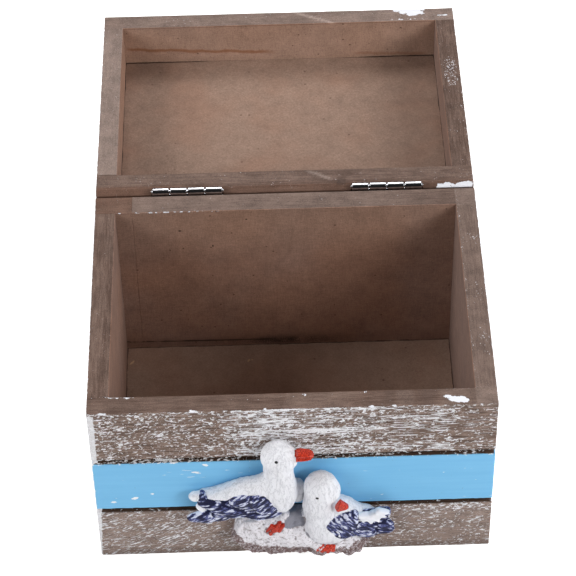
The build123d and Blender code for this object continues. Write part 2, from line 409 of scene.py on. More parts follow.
@dataclass(frozen=True)
class PaintedPlankFinish:
    """Stained wood with brushed-on white flecks and a blue band, rubbed through at its edges."""

    rim_dark: tuple = srgb(76, 57, 49)
    rim_light: tuple = srgb(122, 102, 92)
    rim_pale: tuple = srgb(168, 150, 141)
    rim_shadow: tuple = srgb(74, 61, 56)
    red_piece: tuple = srgb(108, 80, 66)
    inside_colour: tuple = srgb(137, 109, 96)
    inside_warm: tuple = srgb(140, 107, 90)
    inside_pale: tuple = srgb(182, 152, 133)
    inside_cool: tuple = srgb(126, 106, 98)
    stain: tuple = srgb(132, 82, 50)
    speck_brown: tuple = srgb(74, 50, 40)
    seam_dark: tuple = srgb(44, 32, 27)
    plank_dark: tuple = srgb(92, 74, 65)
    plank_light: tuple = srgb(158, 137, 126)
    plank_pale: tuple = srgb(182, 164, 156)
    groove_brown: tuple = srgb(78, 60, 50)
    # Near-black painted shadow deep in the grooves
    groove_shadow: tuple = srgb(34, 26, 22)
    # Dark colour of the painted shade at the foot of the rear wall inside, and of the darker lowest edge
    # elsewhere
    shade_and_grime: tuple = srgb(60, 45, 38)
    white: tuple = srgb(246, 246, 249)
    white_dull: tuple = srgb(212, 210, 214)
    patch_white: tuple = srgb(231, 232, 238)
    blue: tuple = srgb(134, 200, 240)
    blue_deep: tuple = srgb(118, 187, 232)

    def rim(self, tree: MaterialTree, place: Value, along: Value, grain: dict[str, Value]) -> Value:
        """Colour of the bare, grained rim, with a little sprayed paint."""
        streaks = tree.rise(grain["Figure"], 0.3, 0.7) * 0.35 + tree.rise(grain["Fibre"], 0.3, 0.72) * 0.65
        shade = tree.attribute("shade")
        wood = tree.layers(self.rim_dark, (streaks, self.rim_light),
            (tree.attribute("tone") * 0.6, self.red_piece), (shade.over(0.0), self.rim_pale),
            ((shade * -1.0).over(0.0), self.rim_shadow), (grain["Pores"] * 0.45, self.rim_shadow))
        spray = tree.flecks(along, "spray", Size=0.5, Stretch=1.3, Edge=0.012, Cluster=0.2)
        return tree.mix(spray * 0.85, tree.mottled(wood, place, 0.62), self.white_dull)

    def wall(self, tree: MaterialTree, place: Value) -> Value:
        """Colour of the cavity's smooth, warm walls, with their knots, stains and dark seams."""
        shade = tree.attribute("shade")
        cloud = tree.rise(tree.noise(place, 0.03, 2, 0.5), 0.35, 0.65)
        # A positive shade value is painted light, towards inside_pale; a negative one darkens and cools the
        # wall towards inside_cool.
        colour = tree.layers(self.inside_colour, (cloud, self.inside_warm),
            (shade.over(0.0), self.inside_pale), ((shade * -1.0).over(0.0), self.inside_cool))
        upright, level = place.scaled(2.4, 2.4, 0.4), place.scaled(0.4, 0.4, 2.4)
        threads = tree.noise(upright, 1.0, 2, 0.5) + tree.noise(level, 1.0, 2, 0.5)
        colour = tree.mottled(tree.tint(colour, tree.grey(0.6 + threads * 0.4)), place, 0.38)
        wander = tree.noise(place.scaled(0.3, 1.0, 0.3), 0.5, 3, 0.6) - 0.5
        line = tree.attribute("stain") + wander * 2.2
        streak = (1.0 - tree.rise(abs(line), 0.1, 1.2)) * tree.attribute("stain_share")
        return tree.layers(colour, (tree.specks(place, 0.95, 0.12) * 0.75, self.speck_brown),
            (tree.specks(place, 0.4, 0.6) * 0.5, self.speck_brown), (streak * 0.7, self.stain),
            (tree.within(place, "seam", 0.32, 0.3, 6.0) * 0.85, self.seam_dark))

    def make(self, effects: SharedEffects) -> bpy.types.Material:
        """Build the finish, which reads the values that every board carries."""
        tree = MaterialTree("painted_boards", effects)
        place, along = tree.attribute("place", "Vector"), tree.attribute("grain", "Vector")
        grain = tree.effect(effects.grain, along, Stretch=14.0)
        mottle = tree.effect(effects.mottle, place, Strength=0.45)
        groove = tree.attribute("groove")
        bare = tree.mix(tree.within(place, "inner", 0.14, 0.1, 2.0), self.rim(tree, place, along, grain),
            self.wall(tree, place))

        plank = tree.layers(self.plank_dark, (tree.rise(grain["Fibre"], 0.32, 0.7), self.plank_light),
            (tree.attribute("shade").over(0.0), self.plank_pale))
        plank = tree.mix(grain["Pores"] * 0.75, tree.tint(plank, mottle["Tone"]), self.groove_brown)
        wash = tree.flecks(along, "cover", Size=0.66, Stretch=2.0, Edge=0.01, Slant=-0.12, Cluster=0.2)
        wash = wash.over(tree.flecks(along, "lines", Size=0.52, Stretch=12.0, Edge=0.015, Cluster=0.4))
        wash = wash.over(tree.flecks(along, "slope", Size=0.5, Stretch=4.5, Slant=-0.4, Edge=0.015,
            Cluster=0.3))
        coat = tree.mix(tree.rise(tree.noise(along, 4.0, 2, 0.6), 0.36, 0.56), self.white_dull, self.white)

        brushed = tree.noise(along.scaled(0.05, 1.0, 1.0), 0.8, 3, 0.55)
        scratch = tree.flecks(along, "scratch", Size=0.8, Stretch=7.0, Edge=0.02, Cluster=0.4)
        blue_coat = tree.layers(self.blue_deep, (brushed, self.blue),
            (scratch.over(tree.within(place, "rubbed", 0.0, 0.35, 1.2)), self.white))
        blue = tree.within(along, tree.attribute("band") * -1.0, 0.0, 0.14, 0.8)
        chip = tree.flecks(along, "chips", Size=0.75, Stretch=1.8, Edge=0.02, Cluster=0.5)
        corner = tree.within(place, "corner", 0.0, 0.5, 0.9)
        skin = tree.within(place, "skin", 0.2, 0.42, 0.9)
        patch = tree.within(place, "patch", 0.0, 1.1, 1.3)
        # Painted shade at the foot of the rear wall inside, and darkening at the very bottom elsewhere
        dirt = tree.attribute("dirt") * tree.rise(mottle["Factor"], 0.75, 1.15)
        # The deepest part of each groove is painted near-black: painted shadow.
        painted = tree.layers(plank, (wash, coat), (blue, blue_coat),
            (tree.rise(groove, 0.08, 0.32), self.groove_brown),
            (tree.rise(groove, 0.72, 0.95), self.groove_shadow), (chip, self.white), (corner * 0.82, coat))
        colour = tree.layers(bare, (skin, painted), (patch, self.patch_white), (dirt * 0.55, self.shade_and_grime))

        blue_skin = blue * skin
        layer = (wash.over(chip).over(corner) * (1.0 - blue) * skin).over(patch)
        relief = (grain["Fibre"] * 0.09 + mottle["Factor"] * 0.05) * (1.0 - blue_skin * 0.75)
        relief = relief + layer * 0.16 + brushed * blue_skin * 0.02
        return tree.finish({"Base Color": colour, "Roughness": 0.86 - blue_skin * 0.2,
            "Specular IOR Level": 0.25}, relief, 0.9)


@dataclass(frozen=True)
class PressedBoardFinish:
    """Stained pressed board: smooth and warm, with fibre knots and dust."""

    light: tuple = srgb(151, 126, 111)
    dark: tuple = srgb(129, 104, 90)
    warm: tuple = srgb(142, 101, 80)
    knot: tuple = srgb(84, 58, 47)
    splinter: tuple = srgb(206, 170, 132)
    pale: tuple = srgb(186, 156, 138)
    seam_dark: tuple = srgb(46, 33, 28)

    def make(self, effects: SharedEffects) -> bpy.types.Material:
        """Build the finish."""
        tree = MaterialTree("panel_board", effects)
        place, faded = tree.attribute("place", "Vector"), tree.attribute("faded")
        felt = tree.rise(tree.noise(place, 1.4, 4, 0.7), 0.25, 0.75)
        cloud = tree.rise(tree.noise(place, 0.045, 2, 0.5), 0.42, 0.7)
        knots = tree.specks(place, 1.2, 0.1)
        # The light and shade value lightens the board towards the pale colour and darkens it towards the
        # knot colour: painted light and painted shade.
        colour = tree.layers(self.dark, (felt, self.light), (cloud * 0.3, self.warm),
            (faded.over(0.0), self.pale), ((faded * -1.0).over(0.0), self.knot))
        seam, patch = tree.within(place, "seam", 0.3, 0.5, 8.0), tree.within(place, "patch", 0.0, 0.2, 1.0)
        colour = tree.layers(tree.mottled(colour, place, 0.32), (knots * 0.6, self.knot),
            (tree.specks(place, 0.42, 0.4) * 0.32, self.knot), (seam * 0.85, self.seam_dark),
            (patch * 0.8, self.splinter))
        return tree.finish({"Base Color": colour, "Roughness": 0.72 + felt * 0.14,
            "Specular IOR Level": 0.25}, felt * 0.05 + knots * 0.05, 0.6)


@dataclass(frozen=True)
class PlatedFinish:
    """Bright plating with fine scratches and tarnish in its recesses."""

    bright: tuple = srgb(202, 202, 206)
    dull: tuple = srgb(128, 122, 120)

    def make(self, effects: SharedEffects) -> bpy.types.Material:
        """Build the finish."""
        tree = MaterialTree("plated_steel", effects)
        place = tree.out("ShaderNodeTexCoord", None, "Object").scaled(*PER_METRE)
        tarnish = tree.rise(tree.noise(place, 0.9, 4, 0.65), 0.45, 0.75)
        scratch = tree.noise(place.scaled(0.5, 5.0, 5.0), 2.4, 3, 0.6)
        colour = tree.layers(self.bright, (tarnish * 0.5, self.dull), (tree.specks(place, 0.35, 0.25) * 0.4,
            self.dull))
        return tree.finish({"Base Color": colour, "Metallic": 1.0, "Roughness": 0.07 + tarnish * 0.08},
            scratch, 0.25, 0.1 * MM)


@dataclass(frozen=True)
class CastingFinish:
    """Hand-painted casting: chalky white, navy dry-brushed wings, red beaks and feet, black eyes."""

    white: tuple = srgb(241, 241, 246)
    shade: tuple = srgb(146, 146, 158)
    stone_white: tuple = srgb(238, 235, 240)
    stone_shade: tuple = srgb(132, 120, 122)
    navy: tuple = srgb(29, 31, 62)
    navy_mid: tuple = srgb(88, 94, 146)
    navy_worn: tuple = srgb(214, 218, 234)
    red: tuple = srgb(214, 66, 44)
    red_dark: tuple = srgb(132, 30, 18)
    red_worn: tuple = srgb(232, 150, 128)
    mauve: tuple = srgb(114, 87, 83)
    mauve_dark: tuple = srgb(70, 48, 44)
    # Grey painted shadow in the hollow between the gulls
    grey: tuple = srgb(124, 125, 137)
    black: tuple = srgb(18, 17, 20)
    eye_radius: float = 0.56 * MM

    def plumage(self, tree: MaterialTree, place: Value, hollow: Value, furrow: Value) -> Value:
        """Colour of the white birds and the rock, with the brown wash along its foot.

        Args:
            tree: the material's tree.
            place: place in millimetres.
            hollow: how hollow the surface is, from 0 to 1.
            furrow: mask of the lines drawn in the plumage.

        Returns:
            The colour.
        """
        stone = tree.attribute("stone")
        recess = tree.mix(stone, self.shade, self.stone_shade)
        grains = tree.rise(tree.noise(place, 1.5, 4, 0.7), 0.5, 0.64)
        # Creases are darkened towards the shade colours: painted shade.
        colour = tree.layers(self.white, (stone, self.stone_white), (hollow * 0.85, recess),
            (furrow * 0.28, recess), (grains * (stone * 0.5), self.stone_shade))
        washed = tree.within(place, "wash", 0.0, 1.9, 1.5)
        dry = tree.rise(tree.noise(place, 1.3, 4, 0.7), 0.4, 0.56)
        cracks = tree.noise(place.scaled(0.3, 1.0, 1.2), 0.6, 4, 0.6)
        crack = 1.0 - tree.rise(abs(cracks - 0.5), 0.0, 0.035)
        # The hollow between the gulls is painted grey: painted shadow on the white.
        return tree.layers(tree.mottled(colour, place, 0.12), (tree.specks(place, 0.5, 0.14) * 0.35,
            self.shade), (tree.within(place, "gap", 0.0, 1.2, 2.0) * 0.88, self.grey),
            (washed * (0.4 + dry * 0.56), self.mauve), (crack * washed * 0.85, self.mauve_dark))

    def make(self, effects: SharedEffects, eyes: list[Vector]) -> bpy.types.Material:
        """Build the finish, with painted eyes at the given centres, in metres."""
        tree = MaterialTree("painted_casting", effects)
        position = tree.out("ShaderNodeTexCoord", None, "Object")
        place = position.scaled(*PER_METRE)
        grit = tree.noise(place, 2.6, 3, 0.65)
        hollow = tree.rise(tree.attribute("crevice"), 0.06, 0.75)
        drawn = tree.noise(place.scaled(1.0, 1.0, 0.24), 0.8, 2, 0.5, 0.5)
        furrow = (1.0 - tree.rise(abs(drawn - 0.5), 0.0, 0.05)) * (1.0 - tree.attribute("stone"))

        barbs = tree.noise(tree.attribute("barbs", "Vector").scaled(0.3, 1.0, 1.0), 1.25, 2.5, 0.6)
        height = barbs + tree.attribute("crest") * 0.16 - hollow * 0.2
        pale = tree.rise(tree.attribute("pale") + barbs * 0.8, 0.8, 1.0)
        coat = tree.layers(self.navy, (tree.rise(height, 0.43, 0.53), self.navy_mid),
            (tree.rise(height, 0.545, 0.61), self.navy_worn), (pale, self.white))
        navy, red = (tree.within(place, name, 0.0, 0.3, 0.8) for name in ("navy", "red"))
        # The red is darker in creases: painted shade.
        red_coat = tree.layers(self.red_dark, (tree.rise(grit, 0.35, 0.6), self.red),
            (hollow * 0.6, self.red_dark), (tree.rise(grit, 0.66, 0.78), self.red_worn))
        eye = 0.0
        for centre in eyes:
            away = tree.out("ShaderNodeVectorMath", {0: position, 1: tuple(centre)}, "Value",
                operation="DISTANCE")
            dot = 1.0 - tree.rise(away, self.eye_radius * 0.85, self.eye_radius * 1.1)
            eye = tree.math("MAXIMUM", eye, dot)
        colour = tree.layers(self.plumage(tree, place, hollow, furrow), (navy, coat), (red, red_coat),
            (eye, self.black))

        gloss = (red * 0.4).over(eye * 0.5)
        relief = grit * 0.12 + barbs * navy * 0.5 - (1.0 - navy.over(red)) * (furrow * 0.16)
        return tree.finish({"Base Color": colour, "Roughness": 0.66 - gloss, "Specular IOR Level": 0.4},
            relief, 0.8)


@dataclass(frozen=True)
class Swing:
    """Turns places of the lid between rest, where it lies open, and closed, in millimetres."""

    pivot_y: float
    pivot_z: float
    angle: float

    def turn(self, points: np.ndarray, angle: float) -> np.ndarray:
        """Points turned about the hinge axis."""
        y, z = points[:, 1] - self.pivot_y, points[:, 2] - self.pivot_z
        cosine, sine = math.cos(angle), math.sin(angle)
        turned = np.array(points, float)
        turned[:, 1] = self.pivot_y + y * cosine - z * sine
        turned[:, 2] = self.pivot_z + y * sine + z * cosine
        return turned

    def closed(self, points: np.ndarray) -> np.ndarray:
        """Places at rest, moved to where they are when the chest is closed."""
        return self.turn(points, self.angle)

    def opened(self, points: np.ndarray) -> np.ndarray:
        """Places of the closed chest, moved to rest."""
        return self.turn(points, -self.angle)


def lid_swing() -> Swing:
    """The swing of the lid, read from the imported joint."""
    joint = next(j for j in frame["joints"] if j["name"] == "lid_hinge")
    _, y, z = joint["pos_m"]
    return Swing(y / MM, z / MM, math.radians(joint["range_deg"][1]))


def node_box(node: str, swing: Swing | None = None) -> tuple[np.ndarray, np.ndarray]:
    """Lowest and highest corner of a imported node, in millimetres, on the closed chest.

    Args:
        node: the node's name.
        swing: the lid's swing, for a node of the lid.

    Returns:
        Both corners.
    """
    points = np.array([v.co for v in frame["nodes"][node].data.vertices], float) / MM
    if swing is not None:
        points = swing.closed(points)
    return points.min(0), points.max(0)


def rounded(points: np.ndarray, low: np.ndarray, high: np.ndarray,
        radius: float | np.ndarray) -> np.ndarray:
    """Places of a block moved in so that its edges are rounded.

    Args:
        points: the places.
        low, high: corners of the block.
        radius: radius of the edges, one number or one for each place.

    Returns:
        The moved places.
    """
    core = np.clip(points, low + radius, high - radius)
    away = points - core
    length = np.linalg.norm(away, axis=1, keepdims=True)
    return np.where(length > radius, core + away / np.maximum(length, 1e-9) * radius, points)


def link(name: str, data: bpy.types.ID) -> bpy.types.Object:
    """New object at the origin, in the scene."""
    thing = bpy.data.objects.new(name, data)
    bpy.context.scene.collection.objects.link(thing)
    return thing


def hand_over(piece: bpy.types.Object, body: str, node: str, slot: str,
        *finishes: bpy.types.Material) -> None:
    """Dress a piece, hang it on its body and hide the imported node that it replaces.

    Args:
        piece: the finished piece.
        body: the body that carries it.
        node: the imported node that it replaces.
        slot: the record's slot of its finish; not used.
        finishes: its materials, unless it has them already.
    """
    for finish in finishes:
        piece.data.materials.append(finish)
    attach(piece, body)
    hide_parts(node)
    log.info("%s on %s: %d faces", piece.name, body, len(piece.data.polygons))


def spaced(low: float, high: float, step: float, marks: list[float], fine: tuple[float, ...]) -> np.ndarray:
    """Grid lines from low to high, closer together near both ends and at marks.

    Args:
        low, high: the ends.
        step: largest distance between lines.
        marks: places that need closer lines.
        fine: distances of those lines from a mark.

    Returns:
        The lines in rising order.
    """
    lines = list(np.linspace(low, high, max(2, round((high - low) / step) + 1)))
    for mark in (low, high, *marks):
        lines += [mark] + [mark + side * away for away in fine for side in (-1, 1)]
    ordered = sorted(v for v in lines if low <= v <= high)
    kept = [low]
    for value in ordered:
        if value - kept[-1] > 0.045:
            kept.append(value)
    kept[-1] = high
    return np.array(kept)


def grid_block(xs: np.ndarray, ys: np.ndarray, zs: np.ndarray) -> tuple[np.ndarray, np.ndarray]:
    """Closed surface of a block, divided along the given lines.

    Args:
        xs, ys, zs: grid lines of the three axes.

    Returns:
        Vertices (n, 3) and quads (m, 4), facing outwards.
    """
    shape = (len(xs), len(ys), len(zs))
    grid = np.stack(np.meshgrid(xs, ys, zs, indexing="ij"), axis=-1)
    outer = np.zeros(shape, bool)
    for axis in range(3):
        ends = [slice(None)] * 3
        for end in (0, -1):
            ends[axis] = end
            outer[tuple(ends)] = True
    number = np.full(shape, -1)
    number[outer] = np.arange(outer.sum())
    quads = []
    for axis in range(3):
        for end, flip in ((0, True), (-1, False)):
            face = np.take(number, end, axis=axis)
            if axis == 1:
                face = face.T
            corners = [face[:-1, :-1], face[1:, :-1], face[1:, 1:], face[:-1, 1:]]
            if flip:
                corners = corners[::-1]
            quads.append(np.stack([c.ravel() for c in corners], axis=1))
    return grid[outer], np.concatenate(quads)


def make_mesh(name: str, points: np.ndarray, faces: np.ndarray) -> bpy.types.Object:
    """Smooth-shaded object from places in millimetres.

    Args:
        name: the piece's name.
        points: vertices, shape (n, 3).
        faces: faces of one size, shape (m, 3) or (m, 4).

    Returns:
        The object, at the origin, linked to the scene.
    """
    mesh = bpy.data.meshes.new(name)
    sides = faces.shape[1]
    mesh.vertices.add(len(points))
    mesh.vertices.foreach_set("co", (points * MM).astype(np.float32).ravel())
    mesh.loops.add(faces.size)
    mesh.loops.foreach_set("vertex_index", faces.astype(np.int32).ravel())
    mesh.polygons.add(len(faces))
    mesh.polygons.foreach_set("loop_start", np.arange(0, faces.size, sides, dtype=np.int32))
    mesh.update(calc_edges=True)
    mesh.validate()
    mesh.polygons.foreach_set("use_smooth", np.ones(len(mesh.polygons), bool))
    return link(name, mesh)


def carry(piece: bpy.types.Object, **values: np.ndarray) -> None:
    """Store values on a piece's vertices for its material to read.

    Args:
        piece: the object.
        values: one number or one vector for each vertex, by name.
    """
    for name, value in values.items():
        kind, slot = ("FLOAT_VECTOR", "vector") if value.ndim == 2 else ("FLOAT", "value")
        layer = piece.data.attributes.new(name, kind, "POINT")
        layer.data.foreach_set(slot, value.astype(np.float32).ravel())


@dataclass
class Shell:
    """One half of the closed chest as an assembled hollow block, which shapes all of its boards alike."""

    low: np.ndarray
    high: np.ndarray
    cavity_low: np.ndarray
    cavity_high: np.ndarray
    rim: float
    rim_side: int
    chamfer: float
    seed: int
    edge_radius: float = 0.36
    cavity_radius: float = 0.3
    chip_depth: float = 0.26
    broad_wear: float = 11.0
    fine_wear: float = 2.3
    cavity_wear: float = 7.0
    least_radius: float = 0.12
    most_radius: float = 1.4

    def radius_at(self, points: np.ndarray) -> np.ndarray:
        """Radius that wear has given to the outer edges near each place."""
        broad = roughness_at(points, self.broad_wear, self.seed)
        fine = roughness_at(points, self.fine_wear, self.seed + 1)
        worn = self.edge_radius * (1 + 0.55 * broad) + self.chip_depth * np.clip(fine, 0, 1) ** 2
        return np.clip(worn, self.least_radius, self.most_radius)

    def round_outside(self, points: np.ndarray) -> np.ndarray:
        """Places moved in so that the outer edges of the whole block are rounded."""
        return rounded(points, self.low, self.high, self.radius_at(points)[:, None])

    def round_cavity(self, points: np.ndarray) -> np.ndarray:
        """Places moved so that the rim's inner edge is rounded."""
        moved = points.copy()
        depth = self.rim_side * (self.rim - points[:, 2])
        uneven = roughness_at(points, self.cavity_wear, self.seed + 2)
        radius = self.cavity_radius * (1 + 0.5 * uneven)
        for axis in (0, 1):
            other = 1 - axis
            beside = points[:, other] > self.cavity_low[other] - 0.5
            beside &= points[:, other] < self.cavity_high[other] + 0.5
            for side, wall in ((-1, self.cavity_low[axis]), (1, self.cavity_high[axis])):
                out = side * (points[:, axis] - wall)
                near = beside & (out < radius) & (depth < radius) & (out > -0.01)
                across, down = radius - out, radius - depth
                length = np.hypot(across, down)
                near &= length > radius
                ratio = np.where(near, radius / np.maximum(length, 1e-9), 1)
                moved[:, axis] = np.where(near, wall + side * (radius - across * ratio), moved[:, axis])
                moved[:, 2] = np.where(near, self.rim - self.rim_side * (radius - down * ratio),
                    moved[:, 2])
        return moved

    def beyond_slope(self, points: np.ndarray) -> np.ndarray:
        """How far places lie outside the slope along the rear edge of the rim."""
        return (points[:, 1] - self.high[1]) - self.rim_side * (self.rim - points[:, 2]) + self.chamfer

    def cut_chamfer(self, points: np.ndarray) -> np.ndarray:
        """Places moved in behind the slope along the rear edge of the rim."""
        step = np.clip(self.beyond_slope(points), 0, None) / 2
        moved = points.copy()
        moved[:, 1] -= step
        moved[:, 2] -= self.rim_side * step
        return moved

    def shape(self, points: np.ndarray) -> np.ndarray:
        """Places after every cut and all wear that the whole block has."""
        return self.round_cavity(self.round_outside(self.cut_chamfer(points)))

    def skin(self, points: np.ndarray) -> np.ndarray:
        """Distance in from the nearest outer face, counting the bare slope as far inside."""
        sides = np.minimum(points[:, :2] - self.low[:2], self.high[:2] - points[:, :2]).min(axis=1)
        return np.where(self.beyond_slope(points) > -1.7, 9.0, sides)

    def inner(self, points: np.ndarray) -> np.ndarray:
        """Distance out from the cavity's walls, seen from above, and 0 within them."""
        beyond = np.maximum(self.cavity_low - points[:, :2], points[:, :2] - self.cavity_high)
        return np.maximum(beyond.max(axis=1), 0)


@dataclass
class Groove:
    """Groove between two planks: where it lies along an axis, and how deep it is cut."""

    axis: int
    low: float
    high: float
    depth: float
    ring: bool
    lip_out: float = 0.12
    lip_in: float = 0.22

    def share(self, points: np.ndarray, seed: int) -> np.ndarray:
        """How far each place lies in the groove, from 0 to 1, with ragged lips."""
        ragged = 0.08 * roughness_at(points, 2.6, seed) + 0.05 * roughness_at(points, 0.9, seed + 1)
        level = points[:, self.axis] + ragged
        ends = (self.low - self.lip_out, self.low + self.lip_in, self.high - self.lip_in,
            self.high + self.lip_out)
        return plateau(level, *ends)


@dataclass
class Board:
    """One wooden board of the chest."""

    node: str
    grain: Grain
    tone: float
    seed: int
    mortise_side: int = 0
    ease: float = 0.07


@dataclass
class WoodShop:
    """Makes the boards of one half of the chest, alike in their cuts, wear and paint."""

    body: str
    shell: Shell
    grooves: list[Groove]
    swing: Swing | None
    hinge_places: list[tuple[float, float]]
    leaf_reach: float
    leaf_depth: float
    paint: "PaintPlan"
    grid_step: float = 0.75
    fine_lines: tuple = (0.07, 0.2, 0.42, 0.8, 1.4)
    warp_height: float = 0.05
    warp_length: float = 23.0
    grain_shift: float = 37.0

    def lines(self, board: Board, axis: int, low: float, high: float) -> np.ndarray:
        """Grid lines of a board along one axis, closer at its cuts."""
        marks = []
        for groove in self.grooves:
            if groove.axis == axis:
                marks += [groove.low, groove.high]
        if axis == 0 and board.mortise_side:
            marks += [edge for pair in self.hinge_places for edge in pair]
        if axis == 2 and board.mortise_side:
            marks.append(self.shell.rim - self.shell.rim_side * self.leaf_reach)
        if axis < 2:
            marks += [self.shell.cavity_low[axis], self.shell.cavity_high[axis]]
        if axis == 1:
            marks.append(self.shell.high[1] - self.shell.chamfer)
        if axis == 2:
            marks.append(self.shell.rim - self.shell.rim_side * self.shell.chamfer)
        return spaced(low, high, self.grid_step, marks, self.fine_lines)

    def cut_grooves(self, points: np.ndarray) -> tuple[np.ndarray, np.ndarray]:
        """Places pushed in where grooves are cut.

        Args:
            points: places on the uncut board.

        Returns:
            The moved places, and how far each lies in a groove.
        """
        moved, most = points.copy(), np.zeros(len(points))
        for index, groove in enumerate(self.grooves):
            share = groove.share(points, self.shell.seed + 10 * index)
            if groove.ring:
                core = np.clip(moved[:, :2], self.shell.low[:2] + groove.depth,
                    self.shell.high[:2] - groove.depth)
                moved[:, :2] += (core - moved[:, :2]) * share[:, None]
            else:
                floor = np.minimum(moved[:, 2], self.shell.high[2] - groove.depth)
                moved[:, 2] += (floor - moved[:, 2]) * share
            most = np.maximum(most, share)
        return moved, most

    def cut_mortises(self, points: np.ndarray) -> np.ndarray:
        """Places pushed in where the hinge leaves are let into a rear wall."""
        moved = points.copy()
        reach = self.shell.rim_side * (self.shell.rim - points[:, 2])
        deep = (reach < self.leaf_reach + 0.01) & (points[:, 1] > self.shell.high[1] - self.leaf_depth)
        for low, high in self.hinge_places:
            inside = deep & (points[:, 0] > low - 0.01) & (points[:, 0] < high + 0.01)
            moved[:, 1] = np.where(inside, self.shell.high[1] - self.leaf_depth, moved[:, 1])
        return moved

    def build(self, board: Board, slot: str, *finishes: bpy.types.Material) -> None:
        """Make one board and dress it.

        Args:
            board: which board.
            slot: the record's slot of the finish.
            finishes: its finish, and another one for its lowest faces where they have one.
        """
        low, high = node_box(board.node, self.swing)
        lines = [self.lines(board, axis, low[axis], high[axis]) for axis in range(3)]
        places, quads = grid_block(*lines)
        points, groove = self.cut_grooves(rounded(places, low, high, board.ease))
        pattern = points.copy()
        if board.mortise_side:
            points = self.cut_mortises(points)
        points = self.shell.shape(points)
        between = (places[:, 2] > low[2]) * (places[:, 2] < high[2])
        points[:, 2] += self.warp_height * roughness_at(points, self.warp_length, board.seed) * between
        placed = self.swing.opened(points) if self.swing is not None else points
        piece = make_mesh(board.node + "_wood", placed, quads)
        along = pattern[:, board.grain.value] + self.grain_shift * board.seed
        values = self.paint.values(places, self.shell)
        red = np.maximum(values.pop("tone"), board.tone)
        carry(piece, place=pattern, grain=along, groove=groove, tone=red, inner=self.shell.inner(places),
            **values)
        if len(finishes) > 1:
            under = places[quads][:, :, 2].max(axis=1) < low[2] + 0.01
            piece.data.polygons.foreach_set("material_index", under.astype(np.int32))
        hand_over(piece, self.body, board.node, slot, *finishes)


def blot(across: np.ndarray, up: np.ndarray, centre: tuple, half: tuple, lean: float = 0.0) -> np.ndarray:
    """Distance outside an oval mark, negative inside it.

    Args:
        across, up: places on the marked face.
        centre, half: the oval's middle and half sizes.
        lean: its turn, in degrees.

    Returns:
        The distances.
    """
    cosine, sine = math.cos(math.radians(lean)), math.sin(math.radians(lean))
    first, second = across - centre[0], up - centre[1]
    along, beside = first * cosine + second * sine, second * cosine - first * sine
    return (np.hypot(along / half[0], beside / half[1]) - 1) * min(half)


def nearest(marks: list) -> np.ndarray:
    """Smallest of several distances at each place."""
    return np.minimum.reduce(marks)


def blots(across: np.ndarray, up: np.ndarray, *marks: tuple) -> np.ndarray:
    """Distance outside the nearest of several oval marks, each given as in blot."""
    return nearest([blot(across, up, *mark) for mark in marks])


def only(chosen: np.ndarray, distance: np.ndarray) -> np.ndarray:
    """Distance from a mark that lies on the chosen places alone."""
    return np.where(chosen, distance, NO_MARK)


# Oval marks in millimetres: the middle of each, its half sizes and, where it leans, its angle in degrees
RUBBED_SPOTS = (((-28.5, 45.5), (1.5, 0.7), -20), ((-31.4, 41.9), (2.2, 0.7), -6),
    ((-52.0, 29.6), (1.8, 0.9), 16), ((-59.0, 28.0), (1.6, 0.7), 6), ((-46.2, 31.6), (1.0, 0.6), 10),
    ((-65, 34), (0.9, 0.7), 0))
BODY_RIM_PAINT = (((52.6, -47.7), (3.3, 1.4), -8), ((49.6, -46.7), (2.0, 0.7), -16),
    ((-54.6, -42.95), (3.6, 0.22)), ((-51.9, -43.1), (0.7, 0.5)), ((49.4, -42.8), (5.6, 0.28)),
    ((-40.0, 40.5), (6.0, 0.12)), ((3.9, -44.1), (0.5, 0.4)), ((22.9, -43.6), (0.5, 0.4)),
    ((-31.5, -49.7), (1.1, 0.45)), ((-9.0, -49.8), (0.7, 0.35)), ((24.8, -49.6), (0.8, 0.35)),
    ((32.0, -49.5), (0.7, 0.5)), ((-60.0, -49.8), (1.2, 0.3)))
DARK_DOTS = (((-25.3, 54.6), (0.6, 0.5)), ((-13.6, 67.1), (0.5, 0.4)), ((-36.4, 62.3), (0.5, 0.4)))
LID_RIM_PAINT = (((48.6, -49.6), (5.8, 1.9), 0), ((50.6, -47.2), (3.4, 1.5), -10),
    ((46.4, -48.0), (2.0, 1.0), 20), ((48.4, -43.6), (3.4, 0.3), 0), ((61.5, -45.5), (1.7, 0.35), 0))
LID_SLOPE_PAINT = (((53.4, 50.6), (1.5, 1.0)), ((55.8, 50.1), (1.3, 1.1)), ((57.9, 50.6), (0.8, 0.8)),
    ((60.3, 50.4), (1.7, 1.2)), ((62.9, 50.2), (2.0, 1.4)))
LID_RIM_STREAKS = (((10.7, -47.2), (3.4, 0.4), 26), ((16.2, -44.5), (3.2, 0.4), 27),
    ((10.2, 42.5), (1.8, 0.4), 24), ((13.3, 44.3), (2.2, 0.4), 34))


class PaintPlan:
    """Where the paint and the marks lie on one half of the chest. Each half has its own plan."""

    def values(self, places: np.ndarray, shell: Shell) -> dict[str, np.ndarray]:
        """Values that the painted finish reads.

        Args:
            places: places on the closed chest, in millimetres.
            shell: the half that the board belongs to.

        Returns:
            The values by name. Coverages run from 0 to 1, below 0 where there is nothing, and distances are
            negative inside their mark.
        """
        plain = {name: np.zeros(len(places)) for name in ("shade", "stain_share", "dirt")}
        plain["tone"] = 1.1 * (shell.beyond_slope(places) > -0.05)
        plain |= {name: np.full(len(places), NO_MARK) for name in ("stain", "seam", "corner", "patch",
            "rubbed")}
        plain |= {name: np.full(len(places), BARE) for name in ("spray", "cover", "lines", "slope", "chips",
            "scratch")}
        plain |= {"skin": shell.skin(places), "band": np.full(len(places), -NO_MARK)}
        return plain | self.marks(places, shell)

    def marks(self, places: np.ndarray, shell: Shell) -> dict[str, np.ndarray]:
        """Those values that differ from bare, unmarked wood."""
        raise NotImplementedError


